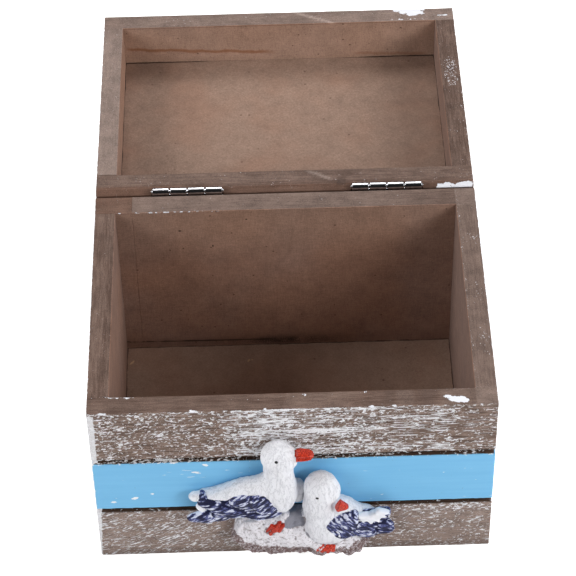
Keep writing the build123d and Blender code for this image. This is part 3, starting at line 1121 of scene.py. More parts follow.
@dataclass
class BodyPaint(PaintPlan):
    """Paint of the body: white flecks on the upper and lower planks, blue on the middle one.

    A stretch along X names where it begins, is full, starts to fade and ends. A brush stroke has its share,
    height and half width, a sprayed spot its place and half length along Y, the second joint line its
    height, its fall and where it starts, and the line between the front rim's two tones its shift, its lean
    and the middle of the rim.
    """

    blue_low: float
    blue_high: float
    floor_top: float
    front_reach: float = 3.0
    brushed: tuple = (-30, -12, 16, 32)
    side_cover: tuple = (0.34, 0.24)
    strokes: tuple = ((0.3, 61.3, 1.1), (0.24, 53.4, 0.9))
    stroke_stretch: tuple = (-4, 6, 40, 50)
    ledge_above: float = 0.1
    foot_below: float = 2.25
    second_joint: tuple = (3.2, 0.012, -60)
    sprayed_side: tuple = ((-22, 6), (-2, 4), (24, 3))
    plank_joint: tuple = (2.2, 0.175, 43.9)

    def marks(self, places: np.ndarray, shell: Shell) -> dict[str, np.ndarray]:
        """Values for the boards of the body, as in the base class."""
        x, y, z = places.T
        front = y < shell.low[1] + self.front_reach
        upper, lower = z > self.blue_high, z < self.blue_low
        middle = plateau(x, *self.brushed)
        top = 0.3 + 0.1 * middle - 0.04 * step_up(x, 26, 40) + 0.05 * hump(x, -60, 5)
        low = 0.05 + 0.2 * step_up(x, 8, 24) + 0.16 * hump(z, self.blue_low - 3.4, 1.6) * step_up(x, 8, 20)
        cover = np.where(front, np.where(upper, top, low), np.where(upper, *self.side_cover))
        streaks = 0.44 * middle + 0.38 * step_up(x, 20, 30) * (1 - 0.7 * step_up(x, 46, 54))
        strokes = sum(share * hump(z, level, half) for share, level, half in self.strokes) - 0.1
        streaks += strokes * plateau(x, *self.stroke_stretch)
        streaks = np.where(upper, np.where(front, streaks, 0.25), 0.05)
        slope = np.where(lower, np.where(front, 0.29 - 0.29 * step_up(x, -6, 16), 0.2), BARE)
        left, right = x - shell.low[0], shell.high[0] - x
        wide = np.where(upper, 1.9 + 0.2 * step_up(z, 50, 68),
            np.where(lower, 0.5 + 0.9 * step_up(z, 0, 21), 0.2))
        wide *= step_down(z, 70.2, 71.0)
        side_edge = np.hypot(left, y - shell.low[1])
        corner = np.minimum(only(front, left - wide), only(left < 1.0, side_edge - wide))
        corner = np.minimum(corner, only(front & (upper | lower), right + 0.1))
        ledge = hump(z, self.blue_high + self.ledge_above, 0.6) * np.where(front,
            1.2 - 0.25 * step_up(x, -25, 0), 0.9)
        foot = hump(z, self.blue_low - self.foot_below, 0.45) * np.where(front,
            0.85 - 0.2 * step_up(x, -40, -25), 0.8)
        chips = BARE + 0.75 * np.maximum(ledge, foot)
        scratch = np.where(front, -0.12, 0.05)
        rubs = blots(x, z, *RUBBED_SPOTS) + 0.2
        return {"band": np.minimum(z - self.blue_low, self.blue_high - z), "cover": cover, "lines": streaks,
            "slope": slope, "corner": corner, "chips": chips, "scratch": scratch,
            "rubbed": only(front, rubs), "dirt": self.shade_and_grime(places, shell),
            "seam": self.seams(places, shell), **self.rim_marks(places, shell)}

    def shade_and_grime(self, places: np.ndarray, shell: Shell) -> np.ndarray:
        """Painted shade along the foot of the rear wall inside, deepest near its middle, and darkening
        towards the very bottom everywhere else.
        """
        x, y, z = places.T
        inside = (np.abs(y - shell.cavity_high[1]) < 0.5) & (z > self.floor_top - 0.01)
        most = 0.8 + 1.2 * hump(x, 0, 18)
        band = hump(z, self.floor_top + 2.0, 2.6) * most * (1 - 0.75 * step_up(x, 8, 36))
        return np.where(inside, band, 0.8 * step_down(z, 1.0, 4.5))

    def seams(self, places: np.ndarray, shell: Shell) -> np.ndarray:
        """Distance from the dark joint at the inner walls' foot and from the rear one's dark dots."""
        x, y, z = places.T
        foot = np.abs(z - self.floor_top)
        rear = y > shell.cavity_high[1] - 1
        height, fall, start = self.second_joint
        second = np.abs(z - self.floor_top - height + fall * (x - start)) - 0.05 + 0.9 * step_up(x, -8, 12)
        dots = [blot(x, z, *mark) + 0.3 for mark in DARK_DOTS]
        return np.where(rear, nearest([foot, second, *dots]), foot + 0.05)

    def rim_marks(self, places: np.ndarray, shell: Shell) -> dict[str, np.ndarray]:
        """Paint, light and dark marks on the rim, and painted light on the upper rear wall inside."""
        x, y, z = places.T
        on_rim = shell.rim - z < 0.5
        front = y < shell.cavity_low[1] + 0.5
        shift, lean, middle = self.plank_joint
        joint = x + shift - lean * (y + middle)
        light = 0.14 * step_up(joint, -0.3, 0.3) * step_down(x, 14, 28) - 0.08 + 0.2 * step_up(x, 26, 36)
        shade = np.where(front, light, 0.0)
        shade -= np.where(front, 0.5 * hump(x, 42.6, 3.0) + 0.25 * hump(x, 30.5, 1.6), 0.0)
        shade += np.where((y > shell.cavity_high[1] - 0.5) & (x > -52.4), 0.2 - 0.12 * step_up(x, 20, 60),
            0.0)
        shade += 0.18 * (x > shell.cavity_high[0])
        paint = blots(x, y, *BODY_RIM_PAINT)
        low_front = (y < shell.low[1] + self.front_reach) & (z < self.blue_low)
        side = hump(x, 62.5, 2.5) * sum(hump(y, *spot) for spot in self.sprayed_side)
        side *= y > shell.low[1] + 8
        side = np.maximum(side, 0.9 * hump(x, 58.5, 0.45) * (y > shell.cavity_low[1] + 4))
        beside = (np.abs(np.abs(x) - shell.cavity_high[0]) < 0.2) & (shell.inner(places) < 0.2)
        # The upper part of the rear wall inside is painted lighter: painted light.
        painted_rear_light = 0.3 * (np.abs(y - shell.cavity_high[1]) < 0.5) * step_up(z, 42, 70)
        walls = painted_rear_light - np.where(x < 0, 0.4, 0.8) * beside
        return {"shade": np.where(on_rim, shade, 0.32 * low_front + walls), "patch": only(on_rim, paint),
            "spray": np.where(on_rim, 0.26 * side - 0.08, BARE)}


@dataclass
class LidPaint(PaintPlan):
    """Paint of the lid: white flecks round its sides, and three planks across its top.

    A stretch along X names where it begins, is full, starts to fade and ends, and a stain its height, its
    rise and where it starts.
    """

    blue_low: float
    blue_high: float
    panel_under: float
    main_stain: tuple = (81.9, 0.052, -56.7)
    second_stain: tuple = (86.2, 0.036, 29.8)
    main_stretch: tuple = (-58, -55, -8, 0)
    second_stretch: tuple = (26, 31, 53, 56)
    joint_stretch: tuple = (-40, -15, 15, 38)
    knot: tuple = ((19.4, 47.1), (1.5, 1.9))
    bare_strip: float = 3.4

    def marks(self, places: np.ndarray, shell: Shell) -> dict[str, np.ndarray]:
        """Values for the boards of the lid, as in the base class."""
        x, y, z = places.T
        under_top = shell.high[2] - z
        top = under_top < 1.5
        edge = nearest([np.hypot(x - shell.low[0], y - shell.low[1]),
            np.hypot(x - shell.high[0], y - shell.low[1])])
        lips = nearest([np.abs(y - self.blue_low), np.abs(y - self.blue_high)])
        return {"skin": np.minimum(shell.skin(places), np.where(shell.beyond_slope(places) > -0.05, NO_MARK,
            under_top)), "band": np.where(top, np.minimum(y - self.blue_low, self.blue_high - y), -NO_MARK),
            "cover": 0.42 + 0.1 * np.sin(x / 17.0) - 0.06 * top, "lines": np.full(len(x), 0.1),
            "corner": edge + 0.1, "chips": BARE + np.where(top, 0.7 * np.exp(-((lips / 0.9) ** 2)), 0.0),
            "scratch": np.full(len(x), 0.0), **self.wall_marks(places, shell),
            **self.rim_marks(places, shell)}

    def wall_marks(self, places: np.ndarray, shell: Shell) -> dict[str, np.ndarray]:
        """Stains and joint lines on the walls of the cavity, and painted shade on the underside of the top
        panel.
        """
        x, y, z = places.T
        front = y < shell.cavity_low[1] + 1
        stains = (self.main_stain, self.second_stain)
        main, second = (z - (height + rise * (x - start)) for height, rise, start in stains)
        late = x > 14
        share = np.where(late, 0.55 * plateau(x, *self.second_stretch), plateau(x, *self.main_stretch))
        middle = 0.5 * plateau(x, *self.joint_stretch)
        walls = np.minimum(places[:, :2] - shell.cavity_low, shell.cavity_high - places[:, :2]).min(axis=1)
        joint = np.maximum(np.abs(z - self.panel_under), walls)
        # The top panel's underside is painted darker towards its left and right ends and near the far wall:
        # painted shadow of the walls.
        faded = -0.26 * step_up(x, 24, 56) - 0.16 * step_down(x, -58, -36) - 0.1 * hump(y, -35, 7)
        return {"stain": np.where(late, second, main), "stain_share": np.where(front, share, 0.0),
            "seam": joint + np.where(front, middle, 0.12), "faded": faded}

    def rim_marks(self, places: np.ndarray, shell: Shell) -> dict[str, np.ndarray]:
        """Paint, light and dark marks on the lid's rim and rear slope, and painted light on the walls of
        its cavity.
        """
        x, y, z = places.T
        on_rim, on_slope = z - shell.rim < 0.5, shell.beyond_slope(places) > -0.3
        paint = blots(x, y, *LID_RIM_PAINT)
        slope = blots(x, y, *LID_SLOPE_PAINT)
        streaks = blots(x, y, *LID_RIM_STREAKS)
        knot = blot(x, y, *self.knot)
        shade = 0.5 * step_down(streaks, 0.0, 0.5) - 0.5 * step_down(knot, -0.2, 0.6)
        left, far, near = x < shell.cavity_low[0], y < shell.cavity_low[1], y > shell.cavity_high[1]
        strip = shell.high[1] - self.bare_strip
        shade += 0.07 * (near & (y < strip))
        shade += np.where(left & ~near, 0.24 + 0.2 * step_up(y, shell.cavity_low[1] - 5,
            shell.cavity_low[1] + 8), (0.28 + 0.12 * step_up(x, 14, 30)) * far)
        shade -= left * 0.6 * hump(y, shell.cavity_high[1], 0.16)
        spot = np.hypot((x - 61.6) / 2.6, (y + 12.0) / 9.0) < 1
        side = spot * 0.32 + 0.16 * hump(x, 64.6, 0.8) * (y > 0)
        # The lid's walls inside are painted lighter than the body's: painted light.
        inside = np.where((shell.inner(places) < 0.1) & (z < self.panel_under + 0.1), 0.5, 0.0)
        inside = np.where(np.abs(np.abs(x) - shell.cavity_high[0]) < 0.2, np.where(x < 0, 0.2, -0.6),
            inside)
        worn = 1.2 * step_up(y, strip, strip + 1) * step_down(x, -46, -18)
        return {"patch": np.where(on_rim & ~on_slope, paint, only(on_slope, slope)),
            "tone": np.maximum(worn, 0.9 * on_slope), "shade": np.where(on_rim, shade, inside),
            "spray": np.where(on_rim, side - 0.06, BARE)}


class FloorMarks(PaintPlan):
    """Marks of a flat panel between walls: the dark joint round its edge, splinters, and painted light,
    strongest in the middle.
    """

    def marks(self, places: np.ndarray, shell: Shell) -> dict[str, np.ndarray]:
        """Values for a panel, as in the base class."""
        sides = np.minimum(places[:, :2] - shell.cavity_low, shell.cavity_high - places[:, :2])
        x, y = places[:, 0], places[:, 1]
        ring = np.abs(np.hypot(x + 13.6, y - 32.6) - 1.0) - 0.3
        marks = [blot(x, y, (-56.2, 33.4), (2.6, 0.9), 52) + 0.45, ring + 1.2 * (y < 32.4)]
        # The floor panel is painted lighter all over, most in the middle: painted light.
        return {"seam": np.abs(sides.min(axis=1)), "patch": nearest(marks),
            "faded": 0.17 + 0.14 * hump(x, 0, 24)}


def geometry_tree(name: str, inputs: dict) -> tuple[Tree, bpy.types.Node, bpy.types.Node, dict]:
    """Start a geometry tree with named inputs.

    Args:
        name: the tree's name.
        inputs: (socket type, default) by name.

    Returns:
        The tree, its input node, its output node, and each input's identifier by name.
    """
    group = bpy.data.node_groups.new(name, "GeometryNodeTree")
    group.interface.new_socket("Geometry", in_out="INPUT", socket_type="NodeSocketGeometry")
    names = {}
    for label, (kind, default) in inputs.items():
        socket = group.interface.new_socket(label, in_out="INPUT", socket_type="NodeSocket" + kind)
        if default is not None:
            socket.default_value = default
        names[label] = socket.identifier
    group.interface.new_socket("Geometry", in_out="OUTPUT", socket_type="NodeSocketGeometry")
    tree = Tree(group)
    return tree, tree.add("NodeGroupInput"), tree.add("NodeGroupOutput"), names


class RowMaker:
    """Sets copies of one piece in a straight row, each turned a little, with a geometry tree."""

    def __init__(self, material: bpy.types.Material) -> None:
        """Build the tree, which gives the copies the material."""
        inputs = {"Piece": ("Object", None), "Count": ("Int", 2), "Start": ("Vector", (0.0, 0.0, 0.0)),
            "Pitch": ("Vector", (0.01, 0.0, 0.0)), "Tilt": ("Vector", (0.0, 0.0, 0.0)), "Seed": ("Int", 0)}
        tree, source, result, self.names = geometry_tree("row_of_pieces", inputs)
        given = source.outputs
        line = tree.out("GeometryNodeMeshLine", {"Count": given["Count"], "Start Location": given["Start"],
            "Offset": given["Pitch"]}, mode="OFFSET")
        piece = tree.out("GeometryNodeObjectInfo", {"Object": given["Piece"]}, "Geometry")
        least = Value(tree, given["Tilt"]).scaled(-1.0, -1.0, -1.0)
        turn = tree.out("FunctionNodeRandomValue", {0: least, 1: given["Tilt"], "Seed": given["Seed"]},
            data_type="FLOAT_VECTOR")
        copies = tree.out("GeometryNodeInstanceOnPoints", {"Points": line, "Instance": piece,
            "Rotation": turn})
        solid = tree.out("GeometryNodeRealizeInstances", {"Geometry": copies})
        dressed = tree.out("GeometryNodeSetMaterial", {"Geometry": solid, "Material": material})
        tree.feed(result, {"Geometry": dressed})
        self.tree = tree.tree

    def lay(self, name: str, piece: bpy.types.Object, count: int, start: tuple, pitch: tuple, tilt: tuple,
            seed: int) -> bpy.types.Mesh:
        """Lay a row.

        Args:
            name: the row's name.
            piece: what is copied; it stands at the origin.
            count: how many copies.
            start: place of the first one, in metres.
            pitch: step from one to the next, in metres.
            tilt: most that a copy turns about each axis, in radians.
            seed: chooses the turns.

        Returns:
            The row as a plain mesh.
        """
        holder = link(name, bpy.data.meshes.new(name))
        modifier = holder.modifiers.new("row", "NODES")
        modifier.node_group = self.tree
        values = {"Piece": piece, "Count": count, "Start": start, "Pitch": pitch, "Tilt": tilt,
            "Seed": seed}
        for label, value in values.items():
            modifier[self.names[label]] = value
        ready = holder.evaluated_get(bpy.context.evaluated_depsgraph_get())
        mesh = bpy.data.meshes.new_from_object(ready)
        bpy.data.objects.remove(holder)
        return mesh


def ring_stack(profile: list[tuple[float, float]], count: int, dips: dict[int, float]) -> bmesh.types.BMesh:
    """Closed turned shape about the X axis, in millimetres.

    Args:
        profile: (x, radius) pairs of a closed outline.
        count: points round the shape.
        dips: how far the outline is pressed in at some of those points, by number.

    Returns:
        The shape.
    """
    shape = bmesh.new()
    rings = []
    outer = max(radius for _, radius in profile)
    for x, radius in profile:
        ring = []
        for index in range(count):
            angle = 2 * math.pi * index / count
            reach = radius - dips.get(index, 0.0) * (radius > outer * 0.8)
            place = (x * MM, reach * MM * math.cos(angle), reach * MM * math.sin(angle))
            ring.append(shape.verts.new(place))
        rings.append(ring)
    for first, second in zip(rings, rings[1:] + rings[:1]):
        for index in range(count):
            after = (index + 1) % count
            shape.faces.new((first[index], second[index], second[after], first[after]))
    return shape


def finish_shape(shape: bmesh.types.BMesh, name: str) -> bpy.types.Object:
    """Merge doubles, face a shape outwards and make it an object.

    Args:
        shape: the shape, which is freed.
        name: the object's name.

    Returns:
        The object, linked to the scene.
    """
    bmesh.ops.remove_doubles(shape, verts=shape.verts, dist=1e-7)
    bmesh.ops.recalc_face_normals(shape, faces=shape.faces)
    for face in shape.faces:
        face.smooth = True
    mesh = bpy.data.meshes.new(name)
    shape.to_mesh(mesh)
    shape.free()
    return link(name, mesh)


@dataclass
class BarrelHinge:
    """Small plated hinge: two leaves with rolled knuckles, a pin, and the nails of each leaf."""

    side: str
    swing: Swing
    material: bpy.types.Material
    rows: RowMaker
    knuckles: int = 4
    gap: float = 0.3
    leaf_thickness: float = 0.7
    pin_radius: float = 0.7
    nail_spacing: float = 15.0
    nail_drop: float = 5.0
    nail_head: float = 1.25
    nail_inset: float = 0.1
    nail_tilt: tuple = (0.05, 0.4, 0.05)
    nail_seed: int = 7
    tilt: tuple = (0.05, 0.012, 0.012)
    round_count: int = 40
    leaf_edge: float = 0.12
    pin_clearance: float = 0.09
    seam_turn: float = 0.56
    seam_dips: tuple = (0.14, 0.03)

    def measure(self) -> None:
        """Read the hinge's place and size from its packed leaf."""
        low, high = node_box(self.side + "_hinge_box_leaf")
        self.low_x, self.high_x = low[0], high[0]
        self.radius = high[2] - self.swing.pivot_z - 0.04
        self.reach = self.swing.pivot_z - low[2]
        self.length = (self.high_x - self.low_x - (self.knuckles - 1) * self.gap) / self.knuckles

    def make_knuckle(self) -> bpy.types.Object:
        """One rolled knuckle about the X axis, its seam turned down to the leaf."""
        half, out, bore = self.length / 2, self.radius, self.pin_radius + self.pin_clearance
        profile = [(-half, bore), (-half, out - 0.2), (-half + 0.05, out - 0.08),
            (-half + 0.16, out - 0.01), (-half + 0.3, out), (0, out), (half - 0.3, out),
            (half - 0.16, out - 0.01), (half - 0.05, out - 0.08), (half, out - 0.2), (half, bore),
            (0, bore)]
        seam = round(self.round_count * self.seam_turn)
        shape = ring_stack(profile, self.round_count, dict(enumerate(self.seam_dips, seam)))
        return finish_shape(shape, self.side + "_knuckle")

    def make_leaf(self, side: int) -> tuple[np.ndarray, np.ndarray]:
        """Plate of one leaf on the closed chest, below the axis (-1) or above it (1)."""
        wall = node_box("rear_board")[1][1]
        gap = self.gap + self.length
        near = self.swing.pivot_z + side * (self.radius + 0.25)
        far = self.swing.pivot_z + side * self.reach
        points, faces, count = [], [], 0
        plates = [((self.low_x, self.high_x), (wall - self.leaf_thickness, wall - 0.02),
            sorted((near, far)))]
        for index in range((1 - side) // 2, self.knuckles, 2):
            start = self.low_x + index * gap
            tab = sorted((self.swing.pivot_z + side * (self.pin_radius + 0.3), near + side * 0.1))
            plates.append(((start, start + self.length), (wall - self.leaf_thickness, wall - 0.05), tab))
        for xs, ys, zs in plates:
            lines = [spaced(a, b, 1.6, [], (0.08, 0.25)) for a, b in (xs, ys, zs)]
            block, quads = grid_block(*lines)
            points.append(rounded(block, block.min(0), block.max(0), self.leaf_edge))
            faces.append(quads + count)
            count += len(block)
        return np.concatenate(points), np.concatenate(faces)

    def make_nail(self) -> bpy.types.Object:
        """One nail head with the top of its shank, about the X axis, its head towards +X."""
        profile = [(-0.5, 0.001), (-0.5, 0.45), (-0.12, 0.5), (-0.1, self.nail_head - 0.1),
            (0, self.nail_head), (0.06, self.nail_head - 0.06), (0.1, self.nail_head * 0.6), (0.11, 0.001)]
        return finish_shape(ring_stack(profile, 24, {}), self.side + "_nail")

    def build(self) -> None:
        """Make both leaves and the pin, each on the body that carries it."""
        self.measure()
        knuckle = self.make_knuckle()
        pitch = self.length + self.gap
        centre = Vector((0, self.swing.pivot_y, self.swing.pivot_z)) * MM
        for body, side, first in (("box", -1, 1), ("lid", 1, 0)):
            start = self.low_x + first * pitch + self.length / 2
            row = self.rows.lay(f"{self.side}_{body}_knuckles", knuckle, self.knuckles // 2,
                (start * MM, centre.y, centre.z), (2 * pitch * MM, 0, 0), self.tilt, 3 + first)
            plate, faces = self.make_leaf(side)
            if body == "lid":
                plate = self.swing.opened(plate)
            leaf = make_mesh(f"{self.side}_hinge_{body}_leaf_plate", plate, faces)
            joined = join_pieces([leaf, link("rolled", row)], leaf.name)
            hand_over(joined, body, f"{self.side}_hinge_{body}_leaf", "plated_steel", self.material)
        bpy.data.objects.remove(knuckle)
        self.build_pin()

    def build_pin(self) -> None:
        """Make the pin with its two rounded ends."""
        low, high = node_box(self.side + "_hinge_pin")
        end = [(0.0, 0.001), (0.03, self.pin_radius * 0.6), (0.14, self.pin_radius * 0.92),
            (0.3, self.pin_radius)]
        profile = [(low[0] + along, reach) for along, reach in end]
        profile += [(high[0] - along, reach) for along, reach in reversed(end)]
        pin = finish_shape(ring_stack(profile, 28, {}), self.side + "_hinge_pin_rod")
        pin.data.transform(Matrix.Translation((0, self.swing.pivot_y * MM, self.swing.pivot_z * MM)))
        hand_over(pin, "box", self.side + "_hinge_pin", "plated_steel", self.material)


def join_pieces(pieces: list[bpy.types.Object], name: str) -> bpy.types.Object:
    """Join objects that all stand at the origin into the first.

    Args:
        pieces: the objects; the others are removed.
        name: the name that the result gets.

    Returns:
        The joined object.
    """
    shape = bmesh.new()
    for piece in pieces:
        shape.from_mesh(piece.data)
    first = pieces[0]
    shape.to_mesh(first.data)
    shape.free()
    for piece in pieces[1:]:
        bpy.data.objects.remove(piece)
    first.name = name
    return first


@dataclass
class Egg:
    """Egg-shaped form of the casting, in millimetres on the front face of the chest."""

    x: float
    z: float
    out: float
    half_length: float
    half_height: float
    half_depth: float
    lean: float

    def distance(self, x: np.ndarray, out: np.ndarray, z: np.ndarray) -> np.ndarray:
        """Rough distance of places outside the form, negative inside it."""
        angle = math.radians(self.lean)
        along = (x - self.x) * math.cos(angle) + (z - self.z) * math.sin(angle)
        across = -(x - self.x) * math.sin(angle) + (z - self.z) * math.cos(angle)
        away = out - self.out
        a, b, c = self.half_length, self.half_height, self.half_depth
        near = np.sqrt((along / a) ** 2 + (across / b) ** 2 + (away / c) ** 2)
        steep = np.sqrt((along / a**2) ** 2 + (across / b**2) ** 2 + (away / c**2) ** 2)
        return near * (near - 1) / np.maximum(steep, 1e-6)

    def reach(self) -> tuple[tuple, tuple]:
        """Lowest and highest corner seen from the front."""
        half = (self.half_length,
            max(self.half_height, self.half_length * abs(math.sin(math.radians(self.lean)))))
        return (self.x - half[0], self.z - half[1]), (self.x + half[0], self.z + half[1])


@dataclass
class Taper:
    """Round tapering form between two places, such as a toe."""

    start: tuple
    end: tuple
    start_radius: float
    end_radius: float

    def distance(self, x: np.ndarray, out: np.ndarray, z: np.ndarray) -> np.ndarray:
        """Rough distance of places outside the form, negative inside it."""
        (x0, z0, o0), (x1, z1, o1) = self.start, self.end
        dx, dz, do = x1 - x0, z1 - z0, o1 - o0
        length = dx * dx + dz * dz + do * do
        share = np.clip(((x - x0) * dx + (z - z0) * dz + (out - o0) * do) / length, 0, 1)
        off_x, off_z, off_out = x - x0 - share * dx, z - z0 - share * dz, out - o0 - share * do
        away = np.sqrt(off_x**2 + off_z**2 + off_out**2)
        return away - (self.start_radius + (self.end_radius - self.start_radius) * share)


def smooth_ring(points: tuple, count: int = 5) -> np.ndarray:
    """Closed smooth curve through a few points.

    Args:
        points: the points in order.
        count: places on the curve for each point.

    Returns:
        The places, shape (n, 2).
    """
    knots = np.array(points, float)
    before, after, beyond = np.roll(knots, 1, 0), np.roll(knots, -1, 0), np.roll(knots, -2, 0)
    share = (np.arange(count) / count)[None, :, None]
    a, b, c, d = (k[:, None, :] for k in (before, knots, after, beyond))
    square, cube = 2 * a - 5 * b + 4 * c - d, 3 * b - a - 3 * c + d
    ring = 0.5 * (2 * b + (c - a) * share + square * share**2 + cube * share**3)
    return ring.reshape(-1, 2)


def ring_distance(ring: np.ndarray, x: np.ndarray, z: np.ndarray) -> np.ndarray:
    """Distance outside a closed outline, negative inside it."""
    closest = np.full(np.broadcast(x, z).shape, np.inf)
    inside = np.zeros(closest.shape, bool)
    for (x0, z0), (x1, z1) in zip(ring, np.roll(ring, -1, 0)):
        dx, dz = x1 - x0, z1 - z0 + 1e-9
        share = np.clip(((x - x0) * dx + (z - z0) * dz) / (dx * dx + dz * dz), 0, 1)
        closest = np.minimum(closest, (x - x0 - share * dx) ** 2 + (z - z0 - share * dz) ** 2)
        inside ^= ((z0 > z) != (z1 > z)) & (x < x0 + (z - z0) * dx / dz)
    return np.where(inside, -1, 1) * np.sqrt(closest)


@dataclass
class Cushion:
    """Flat cushion-like form with a drawn outline, whose middle plane may slope."""

    outline: tuple
    out: float
    half_depth: float
    edge: float
    slope_x: float = 0.0
    slope_z: float = 0.0

    def __post_init__(self) -> None:
        """Smooth the outline."""
        self.ring = smooth_ring(self.outline)
        self.centre = self.ring.mean(0)

    def distance(self, x: np.ndarray, out: np.ndarray, z: np.ndarray) -> np.ndarray:
        """Rough distance of places outside the form, negative inside it."""
        across = np.clip(1 + ring_distance(self.ring, x, z) / self.edge, 0, None)
        level = self.out + self.slope_x * (x - self.centre[0]) + self.slope_z * (z - self.centre[1])
        away = (out - level) / self.half_depth
        return (np.sqrt(across**2 + away**2) - 1) * min(self.edge, self.half_depth)

    def reach(self) -> tuple[tuple, tuple]:
        """Lowest and highest corner seen from the front."""
        return tuple(self.ring.min(0)), tuple(self.ring.max(0))


def melt(first: np.ndarray, second: np.ndarray, width: float) -> np.ndarray:
    """Union of two distance fields with a soft fillet of the given width."""
    share = np.clip(0.5 + 0.5 * (second - first) / width, 0, 1)
    return second + (first - second) * share - width * share * (1 - share)


def melt_all(forms: list, places: tuple, width: float) -> np.ndarray:
    """Soft union of several forms at the given places."""
    field = forms[0].distance(*places)
    for form in forms[1:]:
        field = melt(field, form.distance(*places), width)
    return field


def grid_axes(low: tuple, high: tuple, step: float) -> list[np.ndarray]:
    """Evenly spaced samples from low to high along each axis."""
    return [np.arange(a, b, step) for a, b in zip(low, high)]


def surface_net(field: np.ndarray, origin: np.ndarray, step: float) -> tuple[np.ndarray, np.ndarray]:
    """Surface where a sampled field passes zero.

    Args:
        field: samples, negative inside.
        origin: place of the first sample.
        step: distance between samples.

    Returns:
        Vertices and quads that face outwards once the second axis is turned round.
    """
    cells = np.array(field.shape) - 1
    total = np.zeros((*cells, 3))
    count = np.zeros(cells)
    crossings = []
    for axis in range(3):
        near = field[tuple(slice(None, -1) if a == axis else slice(None) for a in range(3))]
        far = field[tuple(slice(1, None) if a == axis else slice(None) for a in range(3))]
        spots = np.argwhere((near < 0) != (far < 0))
        others = [a for a in range(3) if a != axis]
        spots = spots[np.all((spots[:, others] > 0) & (spots[:, others] < cells[others]), axis=1)]
        start, end = near[tuple(spots.T)], far[tuple(spots.T)]
        points = spots.astype(float)
        points[:, axis] += start / (start - end)
        quad = []
        for back_first, back_second in ((0, 0), (1, 0), (1, 1), (0, 1)):
            cell = spots.copy()
            cell[:, others[0]] -= back_first
            cell[:, others[1]] -= back_second
            np.add.at(total, tuple(cell.T), points)
            np.add.at(count, tuple(cell.T), 1)
            quad.append(cell)
        crossings.append((quad, (start < 0) == (axis != 1)))
    used = count > 0
    number = np.full(cells, -1)
    number[used] = np.arange(used.sum())
    vertices = origin + step * total[used] / count[used][:, None]
    faces = []
    for quad, forward in crossings:
        ids = np.stack([number[tuple(cell.T)] for cell in quad], axis=1)
        faces.append(np.where(forward[:, None], ids, ids[:, ::-1]))
    return vertices, np.concatenate(faces)


def outward(points: np.ndarray, quads: np.ndarray) -> np.ndarray:
    """Outward direction at each vertex of a surface net."""
    corners = points[quads]
    face = np.cross(corners[:, 2] - corners[:, 0], corners[:, 3] - corners[:, 1])
    total = np.zeros_like(points)
    for corner in range(4):
        np.add.at(total, quads[:, corner], face)
    return total / np.maximum(np.linalg.norm(total, axis=1, keepdims=True), 1e-12)


def hollows(points: np.ndarray, quads: np.ndarray, normals: np.ndarray, depth: float,
        rounds: int) -> np.ndarray:
    """How hollow a surface is at each vertex, from -1 on a ridge to 1 in a crease.

    Args:
        points, quads, normals: the surface.
        depth: hollow, in millimetres below its neighbours, that counts as 1.
        rounds: how many times the value is spread to the neighbours.

    Returns:
        The values.
    """
    count = np.bincount(quads.ravel(), minlength=len(points))[:, None]
    ends = [(quads[:, a], quads[:, b]) for a, b in ((0, 1), (1, 2), (2, 3), (3, 0))]

    def spread(values: np.ndarray) -> np.ndarray:
        """Mean over the neighbours of each vertex."""
        total = np.zeros_like(values)
        for first, second in ends:
            np.add.at(total, first, values[second])
        return total / np.maximum(count, 1)

    level = spread(spread(points))
    bend = ((level - points) * normals).sum(axis=1, keepdims=True)
    for _ in range(rounds):
        bend = spread(bend)
    return np.clip(bend[:, 0] / depth, -1, 1)


@dataclass
class Feather:
    """One feather lobe of a folded wing, with the lie of its barbs and how far it is white."""

    form: Cushion | Egg
    lie: float
    pale: float = 0.0


@dataclass
class Gull:
    """One gull of the casting: its plumage, wing, beak, feet and eye."""

    name: str
    plumage: list
    wing: list
    beak: list
    feet: list
    eye: tuple

    def overlap(self, places: tuple) -> dict[str, np.ndarray]:
        """The wing's feathers at the given places.

        Args:
            places: x, out and z.

        Returns:
            Distance of the outermost feather and of the next one, and the first one's lie and whiteness.
        """
        best = lie = pale = None
        for feather in self.wing:
            field = feather.form.distance(*places)
            if best is None:
                best, after = field, np.full(field.shape, NO_MARK)
                lie, pale = np.full(field.shape, float(feather.lie)), np.full(field.shape, feather.pale)
                continue
            nearer = field < best
            after = np.minimum(after, np.maximum(field, best))
            lie, pale = np.where(nearer, feather.lie, lie), np.where(nearer, feather.pale, pale)
            best = np.minimum(best, field)
        return {"best": best, "after": after, "lie": lie, "pale": pale}


def barb_places(points: np.ndarray, lie: np.ndarray) -> np.ndarray:
    """Places turned so that the first axis runs along a feather's barbs.

    Args:
        points: x, out and z.
        lie: lie of the barbs at each place, in degrees.

    Returns:
        Places along the barbs, across them and out.
    """
    angle = np.radians(lie)
    along = points[:, 0] * np.cos(angle) + points[:, 2] * np.sin(angle)
    across = points[:, 2] * np.cos(angle) - points[:, 0] * np.sin(angle)
    return np.stack([along, across + 3.1 * lie / 90, points[:, 1]], axis=1)


